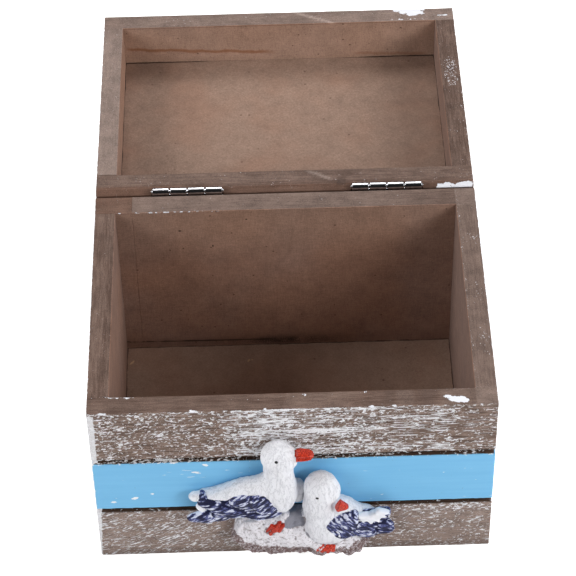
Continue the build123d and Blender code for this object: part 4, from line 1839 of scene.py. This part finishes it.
@dataclass
class GullOrnament:
    """Painted casting of two gulls on a snowy rock, glued to the front of the chest."""

    gulls: list
    rock: list
    hollow: tuple
    foot: tuple
    front_y: float
    deepest: float
    material: bpy.types.Material | None = None
    step: float = 0.3
    wing_step: float = 0.17
    low: tuple = (-38.0, -1.0, 0.6)
    high: tuple = (36.0, 11.6, 63.0)
    barb_length: float = 3.0
    barb_pitch: float = 0.62
    barb_height: float = 0.22
    lumps: tuple = ((0.95, 3.6), (0.5, 1.5), (0.24, 0.8))
    furrow_height: float = 0.15
    furrow_size: float = 0.72
    eye_search: float = 14.0

    def field(self, places: tuple) -> dict[str, np.ndarray]:
        """Distance fields of birds, red parts, rock and the whole casting without its fine relief."""
        red = whole = None
        for gull in self.gulls:
            beak, feet = melt_all(gull.beak, places, 0.3), melt_all(gull.feet, places, 0.3)
            red = np.minimum(beak, feet) if red is None else np.minimum(red, np.minimum(beak, feet))
            bird = np.minimum(melt(melt_all(gull.plumage, places, 1.8), beak, 0.25), feet)
            whole = bird if whole is None else melt(whole, bird, 0.8)
        rock = melt_all(self.rock, places, 1.2)
        return {"bird": whole, "red": red, "rock": rock, "all": np.maximum(melt(whole, rock, 0.6),
            -places[1])}

    def relief(self, points: np.ndarray, fields: dict[str, np.ndarray]) -> np.ndarray:
        """How far fine plumage and the rock's lumps raise the casting at its vertices."""
        on_rock = self.stone(fields)
        on_red = step_down(fields["red"], 0.0, 0.3)
        combed = self.combed(points)
        lumps = sum(high * roughness_at(points, size, 5) for high, size in self.lumps)
        low = step_down(points[:, 2] - self.foot_level(points[:, 0]), 2.5, 6.5)
        split = roughness_at(points * np.array([0.5, 1.0, 1.3]), 2.0, 17)
        lumps -= 0.5 * low * np.exp(-((split / 0.12) ** 2))
        grit = 0.03 * roughness_at(points, 0.7, 9)
        return on_rock * lumps + (1 - on_rock) * (1 - on_red) * self.furrow_height * combed + grit

    def combed(self, points: np.ndarray) -> np.ndarray:
        """Height of the birds' plumage, drawn in long upright furrows, from -1 to 1."""
        return roughness_at(points * np.array([1.0, 1.0, 0.2]), self.furrow_size, 8)

    def stone(self, fields: dict[str, np.ndarray]) -> np.ndarray:
        """Share of the rock at each place, 0 on the birds."""
        return step_down(fields["rock"] - np.minimum(fields["bird"], fields["red"]), -0.3, 0.3)

    def foot_level(self, x: np.ndarray) -> np.ndarray:
        """Height of the rock's lower outline."""
        return np.interp(x, *np.array(self.foot, float).T)

    def place(self, points: np.ndarray) -> np.ndarray:
        """Places of the chest for (x, out, z), none of them further out than the casting is deep."""
        out = np.clip(points[:, 1], 0.0, self.deepest)
        return np.stack([points[:, 0], self.front_y - out, points[:, 2]], axis=1)

    def dress(self, piece: bpy.types.Object) -> None:
        """Give a piece its finish and hang it on the box."""
        hand_over(piece, "box", "seagull_ornament", "painted_resin", self.material)

    def build(self, finish: CastingFinish, effects: SharedEffects) -> None:
        """Carve the casting and both wings, and paint them.

        Args:
            finish: the paint.
            effects: the shared shader groups.
        """
        eyes = [self.eye_place(gull.eye) for gull in self.gulls]
        self.material = finish.make(effects, eyes)
        self.build_casting()
        for gull in self.gulls:
            self.build_wing(gull)

    def build_casting(self) -> None:
        """Carve the two birds and the rock."""
        whole = self.field(np.ix_(*grid_axes(self.low, self.high, self.step)))["all"]
        points, quads = surface_net(whole, np.array(self.low), self.step)
        fields = self.field(tuple(points.T))
        lift = self.relief(points, fields) * step_up(points[:, 1], 0.2, 0.9)
        points = points + outward(points, quads[:, ::-1]) * -lift[:, None]
        piece = make_mesh("seagull_ornament_casting", self.place(points), quads[:, ::-1])
        normals = -outward(points, quads[:, ::-1])
        x, _, z = points.T
        plain = np.zeros(len(points))
        birds = np.minimum(fields["bird"], fields["red"])
        washed = z - self.foot_level(x) - 4.9 + np.clip(4 * (fields["rock"] - birds), 0, 9)
        stone = self.stone(fields)
        carry(piece, navy=plain + NO_MARK, red=fields["red"] - 0.22, crevice=hollows(points, quads, normals,
            0.1, 1), crest=plain, pale=plain, barbs=points, wash=washed, stone=stone,
            gap=ring_distance(smooth_ring(self.hollow), x, z) + np.clip(3 * (fields["rock"] - birds), 0, 9))
        self.dress(piece)

    def build_wing(self, gull: Gull) -> None:
        """Carve one folded wing with the barbs of its feathers."""
        reaches = [feather.form.reach() for feather in gull.wing]
        low = np.array((min(r[0][0] for r in reaches) - 1.2, 1.2, min(r[0][1] for r in reaches) - 1.2))
        high = np.array((max(r[1][0] for r in reaches) + 1.2, 11.0, max(r[1][1] for r in reaches) + 1.2))
        axes = grid_axes(low, high, self.wing_step)
        shown = gull.overlap(np.ix_(*axes))
        best = shown["best"]
        near = np.abs(best) < 0.8
        spots = np.stack([axes[axis][index] for axis, index in enumerate(np.nonzero(near))], axis=1)
        best[near] -= self.barb_height * self.barbs(spots, shown["lie"][near])
        points, quads = surface_net(best, low, self.wing_step)
        shown = gull.overlap(tuple(points.T))
        recess = np.abs(shown["after"] - shown["best"])
        piece = make_mesh(f"{gull.name}_gull_wing", self.place(points), quads[:, ::-1])
        plain = np.zeros(len(points))
        carry(piece, navy=plain - 1, red=plain + NO_MARK, crevice=step_down(recess, 0.03, 0.26),
            crest=self.barbs(points, shown["lie"]), pale=shown["pale"],
            barbs=barb_places(points, shown["lie"]), wash=plain + NO_MARK, gap=plain + NO_MARK, stone=plain)
        self.dress(piece)

    def barbs(self, points: np.ndarray, lie: np.ndarray) -> np.ndarray:
        """Height of the barbs at places of a wing, from -1 to 1."""
        stretched = barb_places(points, lie) / np.array([self.barb_length, self.barb_pitch, 2.0])
        return roughness_at(stretched, 1.0, 8)

    def eye_place(self, eye: tuple) -> Vector:
        """Place of an eye on the surface, in metres, found by moving in from the front."""
        x, z = eye
        outs = np.arange(self.eye_search, 0.0, -0.05)
        field = self.field((np.full(len(outs), x), outs, np.full(len(outs), z)))["all"]
        return Vector((x, self.front_y - outs[np.argmax(field < 0)], z)) * MM


def left_gull() -> Gull:
    """The upright gull on the left."""
    back = Cushion(((-9.0, 43.9), (-13.0, 42.4), (-17.2, 41.1), (-20.6, 39.3), (-24.0, 37.3), (-27.4, 35.6),
        (-30.4, 34.7), (-30.9, 33.6), (-28.0, 33.4), (-24.6, 33.2), (-21.6, 33.3), (-19.0, 35.2),
        (-13.0, 36.0), (-7.0, 33.0), (-3.0, 38.0)), 3.4, 3.6, 3.2, slope_x=0.09)
    plumage = [Egg(-5.0, 54.0, 4.4, 5.6, 6.4, 4.7, 0), Egg(-2.2, 53.6, 5.0, 3.3, 3.7, 3.5, 0),
        Egg(-5.0, 47.0, 4.0, 4.9, 6.5, 4.2, 0), Egg(-4.3, 37.4, 4.4, 5.3, 10.1, 5.0, 0), back,
        Egg(1.2, 33.2, 1.4, 2.5, 6.0, 1.6, 0), Egg(-32.0, 34.0, 3.4, 2.4, 1.7, 1.8, 0)]
    mantle = Cushion(((-31.0, 35.2), (-29.8, 36.0), (-27.8, 34.6), (-24.2, 32.6), (-20.4, 33.9),
        (-16.0, 37.0), (-10.0, 36.0), (-10.0, 29.0), (-20.0, 28.0), (-28.0, 29.4), (-31.4, 32.4)), 4.6, 1.9,
        0.9, slope_x=0.10)
    shoulder = Cushion(((-14.6, 37.4), (-11.6, 39.0), (-8.6, 38.3), (-5.8, 36.0), (-4.6, 33.0),
        (-5.4, 30.4), (-8.0, 28.9), (-11.0, 29.2), (-13.6, 31.2), (-15.2, 34.4)), 6.6, 2.1, 2.0)
    wing = [Feather(mantle, 20), Feather(Egg(-27.3, 25.0, 4.4, 8.2, 2.7, 1.9, 7), 32),
        Feather(Egg(-30.2, 29.9, 4.6, 1.9, 1.4, 1.6, -10), 25, 1.0),
        Feather(Egg(-26.2, 31.4, 5.0, 5.6, 2.0, 1.9, -14), 15, 0.2),
        Feather(Egg(-20.6, 29.8, 5.6, 7.4, 2.6, 2.0, -4), 15, 0.1),
        Feather(Egg(-17.6, 27.6, 5.6, 9.5, 1.7, 1.7, 2), 12, 0.1),
        Feather(Egg(-10.0, 28.0, 6.2, 6.4, 2.6, 2.0, 10), 30),
        Feather(Egg(-16.6, 35.2, 6.2, 4.8, 3.3, 2.0, 24), 35), Feather(shoulder, 42)]
    beak = [Cushion(((0.8, 57.2), (2.8, 57.5), (4.6, 57.3), (6.0, 56.7), (6.4, 55.9), (4.4, 55.7),
        (0.8, 55.6)), 5.6, 1.9, 0.9, slope_x=0.1),
        Cushion(((0.8, 55.5), (3.4, 55.3), (5.6, 55.2), (5.9, 54.8), (4.8, 54.3), (2.8, 53.8), (0.8, 53.6)),
        5.5, 1.8, 0.8, slope_x=0.1)]
    feet = [Taper((-9.4, 18.4, 6.4), (-7.6, 20.8, 6.0), 0.62, 0.5),
        Taper((-8.1, 17.6, 6.8), (-6.3, 20.6, 6.3), 0.66, 0.55), Taper((-6.6, 19.0, 6.7), (-4.9, 22.2, 5.8),
        0.7, 0.6), Taper((-5.2, 18.8, 6.7), (-3.9, 21.0, 6.0), 0.62, 0.5)]
    return Gull("left", plumage, wing, beak, feet, (-5.6, 56.2))


def right_gull() -> Gull:
    """The lower gull on the right, which looks down."""
    back = Cushion(((8.0, 32.0), (13.0, 31.8), (16.2, 30.8), (18.4, 29.4), (20.4, 27.3), (22.4, 25.6),
        (25.0, 24.6), (26.7, 22.8), (29.0, 22.0), (31.2, 20.2), (29.6, 18.9), (23.0, 19.0), (16.0, 18.0),
        (9.0, 20.0)), 3.4, 3.6, 2.8, slope_x=-0.06)
    plumage = [Egg(8.6, 39.6, 5.6, 5.6, 6.5, 4.6, 0), Egg(10.4, 37.8, 6.2, 4.3, 4.4, 3.5, 0),
        Egg(7.8, 29.5, 4.6, 5.2, 9.8, 5.0, 0), Egg(11.2, 18.8, 4.4, 8.0, 8.6, 5.0, -20), back]
    mantle = Cushion(((12.0, 24.0), (18.0, 26.0), (24.0, 23.0), (30.0, 21.4), (31.0, 18.4), (26.0, 15.8),
        (18.0, 15.0), (12.0, 17.0)), 5.0, 2.0, 1.0, slope_x=-0.08)
    shoulder = Cushion(((9.3, 22.6), (10.2, 25.0), (12.8, 26.6), (16.2, 28.0), (19.6, 27.8), (21.0, 25.6),
        (20.2, 21.0), (19.0, 17.2), (16.6, 15.2), (13.2, 16.0), (10.6, 18.8)), 6.9, 2.2, 2.0, slope_x=-0.05)
    tip = Cushion(((20.4, 26.4), (23.4, 26.2), (25.0, 26.6), (27.0, 27.6), (29.4, 26.7), (31.0, 26.0),
        (29.4, 25.2), (30.2, 23.9), (28.2, 23.9), (27.6, 22.2), (26.2, 23.0), (24.8, 21.6), (23.6, 23.2),
        (21.8, 23.4)), 6.0, 1.3, 0.6, slope_x=-0.1)
    edge = Cushion(((22.0, 25.4), (25.0, 26.0), (29.0, 26.4), (31.4, 25.6), (30.4, 23.0), (27.6, 20.6),
        (23.6, 21.0)), 5.0, 1.6, 0.8, slope_x=-0.1)
    wing = [Feather(mantle, -20), Feather(edge, -30), Feather(tip, -30, 1.0),
        Feather(Egg(28.2, 19.6, 5.2, 4.4, 2.2, 1.9, -10), -20, 0.25),
        Feather(Egg(27.8, 17.0, 5.2, 5.0, 2.0, 1.9, -2), -12, 0.1),
        Feather(Egg(24.0, 15.6, 5.4, 4.4, 1.8, 1.8, 6), 20),
        Feather(Egg(22.6, 20.9, 6.2, 5.0, 2.1, 2.0, -14), -25, 0.1),
        Feather(Egg(21.8, 18.0, 6.2, 5.6, 2.1, 2.0, -8), -18, 0.1), Feather(shoulder, -48)]
    beak = [Cushion(((13.0, 33.0), (14.6, 36.0), (15.4, 35.4), (17.3, 33.4), (17.2, 32.5), (15.4, 31.6),
        (13.6, 31.2)), 8.6, 1.5, 1.3)]
    feet = [Taper((7.5, 10.2, 7.6), (9.2, 11.6, 7.4), 0.62, 0.5), Taper((8.9, 9.6, 8.2), (10.6, 11.7, 7.8),
        0.66, 0.55), Taper((10.7, 9.4, 8.4), (11.7, 11.7, 7.9), 0.7, 0.55),
        Taper((12.3, 9.6, 8.2), (12.8, 11.4, 7.7), 0.62, 0.5)]
    return Gull("right", plumage, wing, beak, feet, (7.2, 39.2))


def snowy_rock() -> list:
    """Lumps of the rock under both gulls."""
    slab = Cushion(((-18.2, 21.4), (-12.0, 22.6), (-5.0, 23.6), (2.0, 24.4), (7.0, 22.0), (13.0, 14.6),
        (20.0, 13.4), (25.2, 12.4), (25.4, 9.8), (21.8, 7.0), (18.8, 5.4), (17.4, 3.8), (15.6, 5.2),
        (9.0, 5.6), (2.0, 5.2), (-5.0, 5.2), (-10.5, 5.6), (-14.8, 6.4), (-17.2, 8.2), (-18.6, 10.8),
        (-21.0, 12.2), (-20.2, 16.0)), 2.2, 3.6, 1.6, slope_z=-0.12)
    return [slab, Egg(-8.0, 17.5, 3.0, 8.6, 4.6, 3.9, -8), Egg(2.0, 12.4, 3.6, 8.0, 5.4, 4.5, -20),
        Egg(10.5, 9.4, 4.4, 7.0, 4.0, 4.3, 0), Egg(19.0, 8.8, 3.4, 5.4, 3.2, 3.8, 0)]


# Outlines of the rock on the front face, of the hollow between the birds, which is painted grey as painted
# shadow, and of the rock's lower edge, and how far the casting stands out, in millimetres
ROCK_HOLLOW = ((1.1, 27.9), (2.7, 21.6), (3.0, 19.5), (1.0, 18.5), (-1.6, 18.6), (-3.9, 20.8), (-1.5, 24.4))
ROCK_FOOT = ((-21.0, 12.2), (-18.6, 10.4), (-17.2, 8.2), (-14.8, 6.4), (-10.5, 5.6), (-5.0, 5.2),
    (9.0, 5.6), (15.6, 5.2), (17.4, 3.8), (18.8, 5.4), (21.8, 7.0), (25.4, 9.8))
ORNAMENT_DEPTH = 10.6


def leaf_spans(clearance: float) -> list[tuple[float, float]]:
    """Stretches along X that the two hinges take, with a clearance at both ends."""
    boxes = [node_box(side + "_hinge_box_leaf") for side in ("left", "right")]
    return [(low[0] - clearance, high[0] + clearance) for low, high in boxes]


@dataclass
class ChestHalf:
    """What the body and the lid have in common: four walls, two cuts across, and two finishes."""

    swing: Swing
    wood: bpy.types.Material
    panel: bpy.types.Material
    plank_count: int = 3

    def read_shell(self, names: list[str], swing: Swing | None, top: float, rim_side: int,
            seed: int) -> Shell:
        """The half as a hollow block.

        Args:
            names: nodes of its front, rear, left and right board.
            swing: the lid's swing, for the lid.
            top: its height.
            rim_side: 1 where the rim is its top, -1 where it is its underside.
            seed: chooses its wear.

        Returns:
            The shell.
        """
        front, rear, left, right = (node_box(name, swing) for name in names)
        low, high = front[0], np.array([front[1][0], rear[1][1], top])
        rim = high[2] if rim_side > 0 else low[2]
        return Shell(low, high, np.array([left[1][0], front[1][1]]), np.array([right[0][0], rear[0][1]]),
            rim, rim_side, CHAMFER, seed)

    def cuts(self, axis: int, start: float, pitch: float, depth: float, ring: bool) -> list[Groove]:
        """Grooves between the planks, one pitch apart."""
        ends = [start + index * pitch for index in range(1, self.plank_count)]
        return [Groove(axis, end - GROOVE_WIDTH, end, depth, ring) for end in ends]

    def open_shop(self, body: str, shell: Shell, grooves: list[Groove], swing: Swing | None,
            paint: PaintPlan) -> WoodShop:
        """Shop for the boards of this half."""
        pivot = self.swing.pivot_z
        reach = pivot - node_box("left_hinge_box_leaf")[0][2] + LEAF_CLEARANCE - abs(pivot - shell.rim)
        return WoodShop(body, shell, grooves, swing, leaf_spans(LEAF_CLEARANCE), reach, LEAF_DEPTH, paint)


BODY_BOARDS = (Board("front_board", Grain.SIDEWAYS, 0.1, 1), Board("left_side_board", Grain.FRONT_TO_REAR,
    0.1, 2), Board("right_side_board", Grain.FRONT_TO_REAR, 0.05, 3), Board("rear_board", Grain.SIDEWAYS,
    0.0, 4, -1, 0.16), Board("rear_board_end_piece", Grain.SIDEWAYS, 1.0, 5, -1, 0.16))


class ChestBody(ChestHalf):
    """The open body of the chest: four walls, the rear one in two pieces, and a floor panel."""

    def build(self) -> None:
        """Make every board of the body."""
        names = ["front_board", "rear_board", "left_side_board", "right_side_board"]
        height = node_box("front_board")[1][2]
        shell = self.read_shell(names, None, height, 1, 21)
        plank = (height - (self.plank_count - 1) * GROOVE_WIDTH) / self.plank_count
        pitch = plank + GROOVE_WIDTH
        paint = BodyPaint(pitch, 2 * plank + GROOVE_WIDTH, node_box("bottom_panel")[1][2])
        shop = self.open_shop("box", shell, self.cuts(2, 0.0, pitch, GROOVE_DEPTH, True), None, paint)
        for board in BODY_BOARDS:
            shop.build(board, "painted_boards", self.wood)
        shop.paint = FloorMarks()
        shop.build(Board("bottom_panel", Grain.FLAT, 0.5, 6), "panel_board", self.panel)


LID_BOARDS = (Board("lid_front_board", Grain.SIDEWAYS, 0.1, 7), Board("lid_left_board", Grain.FRONT_TO_REAR,
    0.0, 8), Board("lid_right_board", Grain.FRONT_TO_REAR, 0.1, 9), Board("lid_rear_board", Grain.SIDEWAYS,
    0.2, 10, 1))


class ChestLid(ChestHalf):
    """The lid of the chest: a frame of four boards under a thin top panel."""

    def build(self) -> None:
        """Make every board of the lid."""
        names = ["lid_front_board", "lid_rear_board", "lid_left_board", "lid_right_board"]
        panel_low, panel_high = node_box("lid_top_panel", self.swing)
        shell = self.read_shell(names, self.swing, panel_high[2], -1, 61)
        near = shell.low[1]
        pitch = (shell.high[1] - near + GROOVE_WIDTH) / self.plank_count
        paint = LidPaint(near + pitch, near + 2 * pitch - GROOVE_WIDTH, panel_low[2])
        shop = self.open_shop("lid", shell, [], self.swing, paint)
        for board in LID_BOARDS:
            shop.build(board, "painted_boards", self.wood)
        shop.grooves = self.cuts(1, near, pitch, LID_GROOVE_DEPTH, False)
        shop.build(Board("lid_top_panel", Grain.FLAT, 0.2, 11), "panel_board", self.wood, self.panel)


@dataclass
class Studio:
    """Pale floor, soft lights and a camera where the photograph was taken."""

    frame_pixels: float = 576.0
    focal_pixels: float = 2404.87
    camera_place: tuple = (-5.5, -548.4, 640.83)
    yaw: float = 0.56
    pitch: float = 45.91
    roll: float = -1.2
    sensor: float = 36.0
    floor_half: float = 3.0
    floor_level: float = -0.02
    light_centre: tuple = (0.0, 0.04, 0.04)
    light_away: float = 1.1
    light_size: float = 0.5
    ceiling_heading: tuple = (0.0, 0.5, 0.866)
    lights: tuple = (("left_softbox", -90, 36, 6.2), ("right_softbox", 90, 28, 5.7),
        ("front_left_softbox", -45, 30, 3.2, False), ("front_right_softbox", 45, 30, 6.0, False),
        ("rear_softbox", 180, 50, 5.9))

    def build_camera(self) -> None:
        """Set the camera."""
        yaw, pitch, roll = (math.radians(v) for v in (self.yaw, self.pitch, self.roll))
        ahead = Vector((math.sin(yaw) * math.cos(pitch), math.cos(yaw) * math.cos(pitch), -math.sin(pitch)))
        level = Vector((math.cos(yaw), -math.sin(yaw), 0))
        upright = level.cross(ahead)
        right = math.cos(roll) * level + math.sin(roll) * upright
        up = -math.sin(roll) * level + math.cos(roll) * upright
        camera = link("camera", bpy.data.cameras.new("camera"))
        camera.data.sensor_width = self.sensor
        camera.data.lens = self.focal_pixels * self.sensor / self.frame_pixels
        camera.data.clip_start = 0.01
        rotation = Matrix((right, up, -ahead)).transposed().to_4x4()
        camera.matrix_world = Matrix.Translation(Vector(self.camera_place) * MM) @ rotation
        bpy.context.scene.camera = camera

    def build_floor(self) -> None:
        """Lay the floor that the chest stands on."""
        half = self.floor_half / MM
        corners = ((-half, -half), (half, -half), (half, half), (-half, half))
        points = np.array([(*corner, self.floor_level) for corner in corners])
        floor = make_mesh("floor", points, np.array([(0, 1, 2, 3)]))
        tree = MaterialTree("pale_floor")
        cloud = tree.noise(tree.out("ShaderNodeTexCoord", None, "Object"), 3.0, 2, 0.5)
        seen = tree.out("ShaderNodeLightPath", None, "Is Camera Ray")
        colour = tree.mix(cloud, (0.9, 0.9, 0.9, 1), (0.92, 0.92, 0.92, 1))
        glow = {"Emission Color": (1.0, 1.0, 1.0, 1.0), "Emission Strength": seen * 0.75}
        floor.data.materials.append(tree.finish({"Base Color": colour, "Roughness": 0.9, **glow}))

    def build_world(self) -> None:
        """Give a white background, and metal a bright ceiling over a dark room to mirror."""
        world = bpy.data.worlds.new("studio")
        world.use_nodes = True
        tree = Tree(world.node_tree)
        path = {output.name: Value(tree, output) for output in tree.add("ShaderNodeLightPath").outputs}
        heading = tree.out("ShaderNodeTexCoord", None, "Generated")
        toward = tree.out("ShaderNodeVectorMath", {0: heading, 1: self.ceiling_heading}, "Value",
            operation="DOT_PRODUCT")
        mirrored = path["Is Glossy Ray"] * (0.02 + tree.rise(toward, 0.8, 0.93) * 0.6)
        shown = path["Is Camera Ray"].over(path["Is Transmission Ray"])
        ground = tree.out("ShaderNodeBackground", {"Color": (1, 1, 1, 1), "Strength": shown.over(mirrored)})
        tree.add("ShaderNodeOutputWorld", {"Surface": ground})
        bpy.context.scene.world = world

    def build_light(self, name: str, turn: float, height: float, power: float,
            mirrored: bool = True) -> None:
        """Add one soft light that faces the chest.

        Args:
            name: its name.
            turn: where it stands, in degrees from the front, positive to the right.
            height: how high it stands, in degrees.
            power: its power in watts.
            mirrored: whether shiny surfaces mirror it.
        """
        lamp = bpy.data.lights.new(name, "AREA")
        lamp.energy, lamp.size = power, self.light_size
        light = link(name, lamp)
        side, rise = math.radians(turn), math.radians(height)
        away = Vector((math.sin(side) * math.cos(rise), -math.cos(side) * math.cos(rise), math.sin(rise)))
        light.visible_glossy = mirrored
        light.location = Vector(self.light_centre) + away * self.light_away
        light.rotation_euler = (-away).to_track_quat("-Z", "Y").to_euler()

    def build(self) -> None:
        """Make the whole studio."""
        bpy.context.scene.view_settings.view_transform = "Standard"
        self.build_camera()
        self.build_floor()
        self.build_world()
        for light in self.lights:
            self.build_light(*light)


def build_nails(swing: Swing, rows: RowMaker, hinge: BarrelHinge) -> None:
    """Make the nail heads of all four leaves, one piece for each body.

    Args:
        swing: the lid's swing.
        rows: sets the nails in rows.
        hinge: a measured hinge, for the sizes of its nails.
    """
    nail = hinge.make_nail()
    nail.data.transform(Matrix.Rotation(math.pi / 2, 4, "Z"))
    wall = node_box("rear_board")[1][1] * MM
    for body, side in (("box", -1), ("lid", 1)):
        heads = []
        for low, high in leaf_spans(0.0):
            middle = (low + high) / 2 * MM
            half = hinge.nail_spacing / 2 * MM
            level = (swing.pivot_z + side * hinge.nail_drop) * MM
            start = (middle - half, wall - hinge.nail_inset * MM, level)
            mesh = rows.lay("nails", nail, 2, start, (2 * half, 0, 0), hinge.nail_tilt, hinge.nail_seed)
            heads.append(link("heads", mesh))
        piece = join_pieces(heads, body + "_hinge_nail_heads")
        if body == "lid":
            turn = Matrix.Rotation(-swing.angle, 4, "X")
            pivot = Matrix.Translation((0, swing.pivot_y * MM, swing.pivot_z * MM))
            piece.data.transform(pivot @ turn @ pivot.inverted())
        hand_over(piece, body, body + "_hinge_nails", "plated_steel")
    bpy.data.objects.remove(nail)


def main() -> None:
    """Build the chest, its ornament and the studio."""
    logging.basicConfig(level=logging.INFO, format="%(name)s: %(message)s")
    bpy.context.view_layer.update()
    Studio().build()
    effects = SharedEffects()
    wood = PaintedPlankFinish().make(effects)
    panel = PressedBoardFinish().make(effects)
    plating = PlatedFinish().make(effects)
    swing = lid_swing()
    ChestBody(swing, wood, panel).build()
    ChestLid(swing, wood, panel).build()
    rows = RowMaker(plating)
    hinges = [BarrelHinge(side, swing, plating, rows) for side in ("left", "right")]
    for hinge in hinges:
        hinge.build()
    build_nails(swing, rows, hinges[-1])
    front_y = node_box("front_board")[0][1]
    ornament = GullOrnament([left_gull(), right_gull()], snowy_rock(), ROCK_HOLLOW, ROCK_FOOT, front_y,
        ORNAMENT_DEPTH)
    ornament.build(CastingFinish(), effects)
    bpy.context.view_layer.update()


if __name__ == "__main__":
    main()
